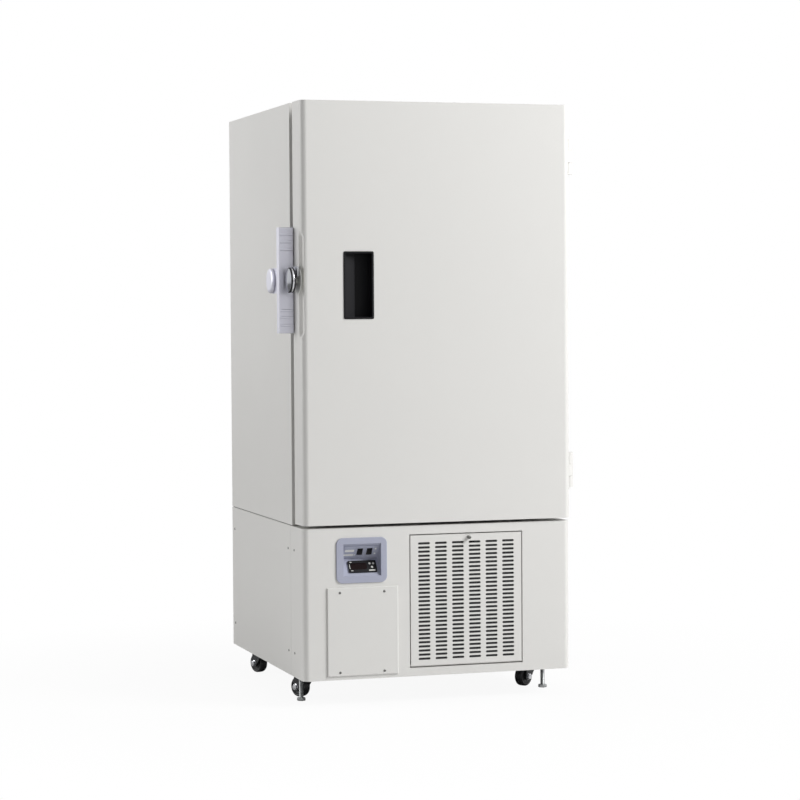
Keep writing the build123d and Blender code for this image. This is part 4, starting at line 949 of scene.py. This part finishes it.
@dataclass
class Casters:
    """Wheels, forks and axle nuts of the four casters."""

    places: dict[str, tuple[float, float, float]] = field(
        default_factory=lambda: {
            "front_left": (-317.0, -198.5, -62.8),
            "front_right": (317.0, -198.5, 34.4),
            "rear_left": (-317.0, 265.5, -67.6),
            "rear_right": (317.0, 265.5, 25.0),
        }
    )
    trail: float = 18.0
    radius: float = 27.0
    half_width: float = 12.0
    hub_half: float = 14.6
    reach: float = 17.8
    bolt_radius: float = 3.6
    bolt_proud: float = 1.2
    washer_radius: float = 8.4
    washer_height: float = 1.0
    nut_radius: float = 8.2
    nut_height: float = 4.4

    def wheel(self) -> Piece:
        """Models the wheel about the Z axis: tread, rim, dished face and hub."""
        r, w, hub = self.radius, self.half_width, self.hub_half
        side = ((4.1, hub), (7.6, hub), (8.6, hub - 0.6), (9.2, w - 3.0), (11.0, w - 4.2),
                (r - 8.5, w - 3.6), (r - 6.0, w - 0.6), (r - 5.0, w), (r - 3.2, w),
                (r - 1.2, w - 1.6), (r - 0.2, w - 4.2), (r, w - 7.0))
        lower = tuple((radius, -height) for radius, height in reversed(side))
        return Shop.lathe("wheel", side + lower + (side[0],), 64)

    def nut(self) -> Piece:
        """Models an axle nut with its washer and the bolt's end, standing on the origin."""
        bolt, rim, flat = self.bolt_radius, self.washer_radius, self.washer_height
        top = flat + self.nut_height
        disc = ((bolt, 0.0), (rim, 0.0), (rim, flat * 0.8), (rim - 0.4, flat), (bolt, flat))
        washer = Shop.lathe("washer", disc, 32)
        hexagon = Shop.hexagon("hexagon", self.nut_radius, flat, top, 0.7)
        tip = top + self.bolt_proud
        foot = top - 0.4
        point = ((0.0, foot), (bolt, foot), (bolt, tip - 0.6), (bolt - 0.6, tip), (0.0, tip))
        return Shop.join("nut", [washer, hexagon, Shop.lathe("bolt_end", point, 24)])

    def build(self) -> None:
        """Copies wheel and nuts to the four casters."""
        wheel, nut = self.wheel(), self.nut()
        for name, (x, y, degrees) in self.places.items():
            angle = math.radians(degrees)
            hub = (x - self.trail * math.cos(angle), y - self.trail * math.sin(angle), self.radius)
            axle = Vector((-math.sin(angle), math.cos(angle), 0))
            piece = Shop.place(Shop.copy(wheel, f"wheel_{name}"), hub, axle)
            finish_piece(piece, f"{name}_wheel", "wheel_nylon", f"caster_wheel_{name}")
            fork = Shop.redraw(f"caster_fork_{name}", f"fork_{name}", 0.5)
            finish_piece(fork, f"{name}_fork", "machine_paint")
            for side in (-1, 1):
                spot = Vector(hub) + axle * (side * self.reach)
                copied = Shop.copy(nut, f"axle_nut_{name}_{side + 1}")
                Shop.place(copied, tuple(spot), axle * side)
                finish_piece(copied, f"{name}_fork", "chrome")
        bpy.data.objects.remove(wheel)
        bpy.data.objects.remove(nut)


@dataclass
class LevellingFeet:
    """Threaded levelling feet with chamfered hexagon heads."""

    x: float = 342.0
    y: float = -251.5
    rod_radius: float = 6.0
    head_radius: float = 12.0
    head_height: float = 8.0
    top: float = 110.0
    thread_pitch: float = 1.75
    thread_depth: float = 0.55

    def build(self) -> None:
        """Builds both feet."""
        for side, name in ((-1, "left"), (1, "right")):
            outline = [(0.0, 4.0), (self.rod_radius, 4.0)]
            height = self.head_height + 0.5
            while height < self.top - self.thread_pitch:
                outline.append((self.rod_radius - self.thread_depth, height))
                outline.append((self.rod_radius, height + self.thread_pitch / 2))
                height += self.thread_pitch
            outline += [(self.rod_radius - self.thread_depth, self.top), (0.0, self.top)]
            rod = Shop.lathe("rod", outline, 24)
            head = Shop.hexagon("head", self.head_radius, 0.0, self.head_height, 0.9)
            foot = Shop.join(f"foot_{name}_screw", [rod, head])
            Shop.place(foot, (side * self.x, self.y, 0.0), Way.UP.vector, Way.RIGHT.vector)
            finish_piece(foot, f"{name}_foot", "zinc_steel", f"foot_{name}")


@dataclass
class Slope:
    """A tilted face of the control recess, with its own across, up and out directions."""

    origin: Point
    out: Point

    def put(self, piece: Piece, across: float, up: float, out: float) -> Piece:
        """Moves a piece built at the origin on to the slope."""
        normal = Vector(self.out)
        right = Way.RIGHT.vector
        spot = Vector(self.origin) + right * across + normal.cross(right) * up + normal * out
        return Shop.place(piece, tuple(spot), normal, right)


@dataclass
class ControlPanel:
    """Window, marks and keys of the controller, and the marks beside the rockers."""

    display: Slope = field(
        default_factory=lambda: Slope((-206.0, -370.0, 362.5), (0, -0.793, 0.609))
    )
    switches: Slope = field(
        default_factory=lambda: Slope((-211.0, -370.0, 404.75), (0, -0.783, -0.622))
    )
    pane: tuple[float, float] = (44.1, 19.6)
    pane_shift: float = -9.9
    face: float = 4.0
    key_radius: float = 3.0
    key_proud: float = 1.15
    keys: tuple[tuple[str, str, float, float], ...] = (
        ("set_button", "set_key", 20.5, 7.7),
        ("up_button", "up_key", 30.4, 7.7),
        ("down_button", "down_key", 25.5, -3.5),
    )
    display_marks: tuple[tuple[float, float, float, float], ...] = (
        (-34.8, 0.0, 1.4, 13.0),
        (-30.0, 13.2, 6.0, 1.8),
        (-30.0, -13.2, 6.0, 1.8),
        (24.0, -13.0, 17.0, 3.2),
    )
    switch_marks: tuple[tuple[float, float, float, float], ...] = (
        (-30.0, 3.0, 25.0, 8.0),
        (-31.0, -12.0, 27.0, 6.0),
        (-14.5, -12.0, 3.0, 5.0),
        (40.5, 8.0, 4.5, 5.0),
        (40.5, -9.0, 5.0, 5.0),
    )

    def mark(self, name: str, width: float, height: float, thick: float) -> Piece:
        """Models a small inlaid plate with rounded corners at the origin."""
        plate = Shop.brick(name, (-width / 2, -height / 2, 0.0), (width / 2, height / 2, thick))
        corner = min(width, height) * 0.3
        Shop.round_edges(plate, corner, 3, lambda a, b: abs(a.x - b.x) + abs(a.y - b.y) < 0.01)
        return Shop.smooth(plate)

    def build(self) -> None:
        """Builds the window, the keys and the marks."""
        glass = self.mark("display_window", self.pane[0] - 0.4, self.pane[1] - 0.4, 0.25)
        self.display.put(glass, self.pane_shift, 0.0, 3.82)
        finish_piece(glass, "cabinet", "window")
        bars = []
        for number, (x, y, width, height) in enumerate(self.display_marks):
            bar = self.mark(f"bar_{number}", width, height, 0.2)
            bars.append(self.display.put(bar, x, y, 3.95))
        for number, (x, y, width, height) in enumerate(self.switch_marks):
            bar = self.mark(f"mark_{number}", width, height, 0.2)
            bars.append(self.switches.put(bar, x, y, 1.45))
        finish_piece(Shop.join("panel_marks", bars), "cabinet", "light_plastic")
        for node, body, x, y in self.keys:
            r, top = self.key_radius, self.key_proud
            rim = ((r, -3.5), (r, top - 0.8), (r - 0.2, top - 0.3), (r - 0.8, top))
            dish = ((r - 1.8, top - 0.2), (0.0, top - 0.3))
            cap = Shop.lathe(f"{node}_cap", ((0.0, -3.5),) + rim + dish, 32)
            key = self.display.put(cap, x, y, self.face)
            finish_piece(key, body, "light_plastic", node)


@dataclass
class DoorGasket:
    """Soft bellows seal round the door's back, mitred at its corners."""

    outer_x: float = 349.0
    low_z: float = 498.0
    high_z: float = 1556.0
    width: float = 30.0
    front_y: float = -311.5
    back_y: float = -281.5
    folds: int = 3

    def rail(self, name: str, length: float) -> Piece:
        """Models one straight rail on the X axis, with its pleats, mitred at both ends."""
        start = -length / 2
        Shop.take()
        bpy.ops.mesh.primitive_plane_add(size=1.0)
        piece = Shop.christen(name)
        bpy.ops.object.mode_set(mode="EDIT")
        bpy.ops.mesh.select_mode(type="VERT")
        bpy.ops.mesh.select_all(action="SELECT")
        bpy.ops.mesh.merge(type="CENTER")
        depth = self.back_y - self.front_y
        points = [(self.front_y, 1.0)]
        for fold in range(self.folds * 2 + 1):
            y = self.front_y + 3.0 + (depth - 6.0) * fold / (self.folds * 2)
            points.append((y, 4.0 if fold % 2 else 0.5))
        points.append((self.back_y, 2.0))
        mirrored = [(y, self.width - inset) for y, inset in reversed(points)]
        spot = Vector((0.0, 0.0, 0.0))
        for number, (y, z) in enumerate(points + mirrored):
            target = Vector((start, y, z)) * MM
            move = {"value": tuple(target - spot)}
            if number == 0:
                bpy.ops.transform.translate(**move)
            else:
                bpy.ops.mesh.extrude_region_move(TRANSFORM_OT_translate=move)
            spot = target
        bpy.ops.mesh.select_all(action="SELECT")
        bpy.ops.mesh.edge_face_add()
        bpy.ops.mesh.select_mode(type="FACE")
        bpy.ops.mesh.select_all(action="SELECT")
        bpy.ops.mesh.extrude_region_move(TRANSFORM_OT_translate={"value": (length * MM, 0, 0)})
        for end, lean in ((start, 1.0), (-start, -1.0)):
            bpy.ops.mesh.select_all(action="SELECT")
            bpy.ops.mesh.bisect(
                plane_co=(end * MM, 0, 0),
                plane_no=(-lean, 0, 1),
                clear_outer=True,
                use_fill=True,
            )
        bpy.ops.mesh.select_all(action="SELECT")
        bpy.ops.mesh.normals_make_consistent(inside=False)
        bpy.ops.object.mode_set(mode="OBJECT")
        return piece

    def build(self) -> None:
        """Joins the four rails into the ring."""
        middle = (self.low_z + self.high_z) / 2
        across, tall = 2 * self.outer_x, self.high_z - self.low_z
        rails = []
        for number, (length, spot, up, side) in enumerate(
            (
                (across, (0.0, 0.0, self.low_z), Way.UP, Way.RIGHT),
                (across, (0.0, 0.0, self.high_z), Way.DOWN, Way.LEFT),
                (tall, (-self.outer_x, 0.0, middle), Way.RIGHT, Way.DOWN),
                (tall, (self.outer_x, 0.0, middle), Way.LEFT, Way.UP),
            )
        ):
            rail = self.rail(f"rail_{number}", length)
            rails.append(Shop.place(rail, spot, up.vector, side.vector))
        ring = Shop.join("door_seal", rails)
        Shop.modify(ring, "WELD", merge_threshold=0.02 * MM)
        finish_piece(Shop.smooth(ring, 30.0), "door", "seal_rubber", "door_gasket")


@dataclass(frozen=True)
class Lamp:
    """A square soft lamp that looks at the middle of the freezer.

    The azimuth is in degrees round from the front, positive to the right, and the height in degrees
    above level. The reach and the size are in metres, and the power is in watts.
    """

    name: str
    azimuth: float
    height: float
    reach: float
    power: float
    size: float
    aim: Point = (0.0, 0.0, 800.0)

    def hang(self) -> None:
        """Adds the lamp to the scene."""
        data = bpy.data.lights.new(self.name, "AREA")
        data.energy, data.size = self.power, self.size
        lamp = bpy.data.objects.new(self.name, data)
        bpy.context.scene.collection.objects.link(lamp)
        turn, lift = math.radians(self.azimuth), math.radians(self.height)
        level = Vector((math.sin(turn), -math.cos(turn), 0.0)) * math.cos(lift)
        away = level + Way.UP.vector * math.sin(lift)
        lamp.location = Vector(self.aim) * MM + away * self.reach
        lamp.rotation_euler = away.to_track_quat("Z", "Y").to_euler()


@dataclass
class Studio:
    """Camera, lamps, white surroundings and the pale floor."""

    spot: Point = (-2014.8, -6489.6, 1042.5)
    yaw: float = 17.382
    pitch: float = 2.178
    roll: float = -0.355
    lens: float = 109.9
    sensor: float = 36.0
    ambient: float = 0.17
    lamps: tuple[Lamp, ...] = (
        Lamp("key", 50.0, 32.0, 6.0, 350.0, 2.6),
        Lamp("fill", -112.0, 16.0, 6.0, 142.0, 3.0),
    )

    def camera(self) -> None:
        """Sets up the camera at the photograph's place."""
        data = bpy.data.cameras.new("camera")
        data.lens, data.sensor_width = self.lens, self.sensor
        data.clip_start, data.clip_end = 0.1, 100.0
        camera = bpy.data.objects.new("camera", data)
        bpy.context.scene.collection.objects.link(camera)
        yaw, pitch, roll = (math.radians(angle) for angle in (self.yaw, self.pitch, self.roll))
        level = math.cos(pitch)
        ahead = Vector((math.sin(yaw) * level, math.cos(yaw) * level, -math.sin(pitch)))
        right = Vector((math.cos(yaw), -math.sin(yaw), 0.0))
        up = right.cross(ahead)
        across = right * math.cos(roll) + up * math.sin(roll)
        upright = up * math.cos(roll) - right * math.sin(roll)
        turn = Matrix((across, upright, -ahead)).transposed().to_4x4()
        camera.matrix_world = Matrix.Translation(Vector(self.spot) * MM) @ turn
        bpy.context.scene.camera = camera

    def surroundings(self) -> None:
        """Makes the world white to the camera and to gloss, and a dim grey to the rest."""
        world = bpy.data.worlds.new("studio")
        bpy.context.scene.world = world
        world.use_nodes = True
        tree = world.node_tree
        tree.nodes.clear()
        path = tree.nodes.new("ShaderNodeLightPath")
        seen = path.outputs["Is Camera Ray"]
        for other in ("Is Glossy Ray", "Is Transmission Ray"):
            either = tree.nodes.new("ShaderNodeMath")
            either.operation = "MAXIMUM"
            tree.links.new(seen, either.inputs[0])
            tree.links.new(path.outputs[other], either.inputs[1])
            seen = either.outputs[0]
        strength = tree.nodes.new("ShaderNodeMapRange")
        strength.inputs["To Min"].default_value = self.ambient
        strength.inputs["To Max"].default_value = 1.0
        tree.links.new(seen, strength.inputs["Value"])
        sky = tree.nodes.new("ShaderNodeBackground")
        sky.inputs["Color"].default_value = (1.0, 1.0, 1.0, 1.0)
        tree.links.new(strength.outputs["Result"], sky.inputs["Strength"])
        output = tree.nodes.new("ShaderNodeOutputWorld")
        tree.links.new(sky.outputs["Background"], output.inputs["Surface"])

    def floor(self) -> None:
        """Lays a pale floor that keeps the freezer's shadow and fades to white far off."""
        Shop.take()
        bpy.ops.mesh.primitive_circle_add(vertices=96, radius=30.0, fill_type="NGON")
        floor = Shop.christen("floor")
        recipe = Recipe("floor_paper")
        paper = recipe.mix(recipe.noise(2.0), shade(240, 240, 240), shade(236, 236, 236))
        recipe.dress(Base_Color=paper, Roughness=0.9)
        path = recipe.add("ShaderNodeLightPath")
        glow = recipe.add("ShaderNodeEmission", inputs={"Strength": 1.0})
        reach = recipe.add("ShaderNodeVectorMath", {"operation": "LENGTH"}, {0: recipe.place})
        fade = {"From Min": 0.4, "From Max": 1.6, "To Min": 0.93, "To Max": 1.0}
        far = recipe.add("ShaderNodeMapRange", inputs={"Value": reach.outputs["Value"], **fade})
        seen = Signal(recipe, path.outputs["Is Camera Ray"])
        share = seen * Signal(recipe, far.outputs["Result"])
        blend = recipe.add(
            "ShaderNodeMixShader",
            inputs={0: share, 1: recipe.shader.outputs["BSDF"], 2: glow.outputs["Emission"]},
        )
        output = next(node for node in recipe.tree.nodes if node.type == "OUTPUT_MATERIAL")
        recipe.feed(output.inputs["Surface"], blend.outputs["Shader"])
        floor.data.materials.append(recipe.material)

    def build(self) -> None:
        """Sets the whole studio up."""
        self.camera()
        for lamp in self.lamps:
            lamp.hang()
        self.surroundings()
        self.floor()
        bpy.context.scene.view_settings.view_transform = "Standard"


def dress_nodes() -> None:
    """Gives every CAD node its finish."""
    for name, node in frame["nodes"].items():
        WARDROBE.wear(node, NODE_FINISH[name])
    log.info("%d nodes dressed", len(frame["nodes"]))


def main() -> None:
    """Builds the studio and every sub-assembly in order."""
    logging.basicConfig(level=logging.INFO, format="%(message)s")
    Studio().build()
    dress_nodes()
    parts = (
        Shells(),
        IntakeDoor(),
        SideLatch(),
        Screws(),
        Casters(),
        LevellingFeet(),
        ControlPanel(),
        DoorGasket(),
    )
    for part in parts:
        part.build()
        log.info("%s done", type(part).__name__)


if __name__ == "__main__":
    main()
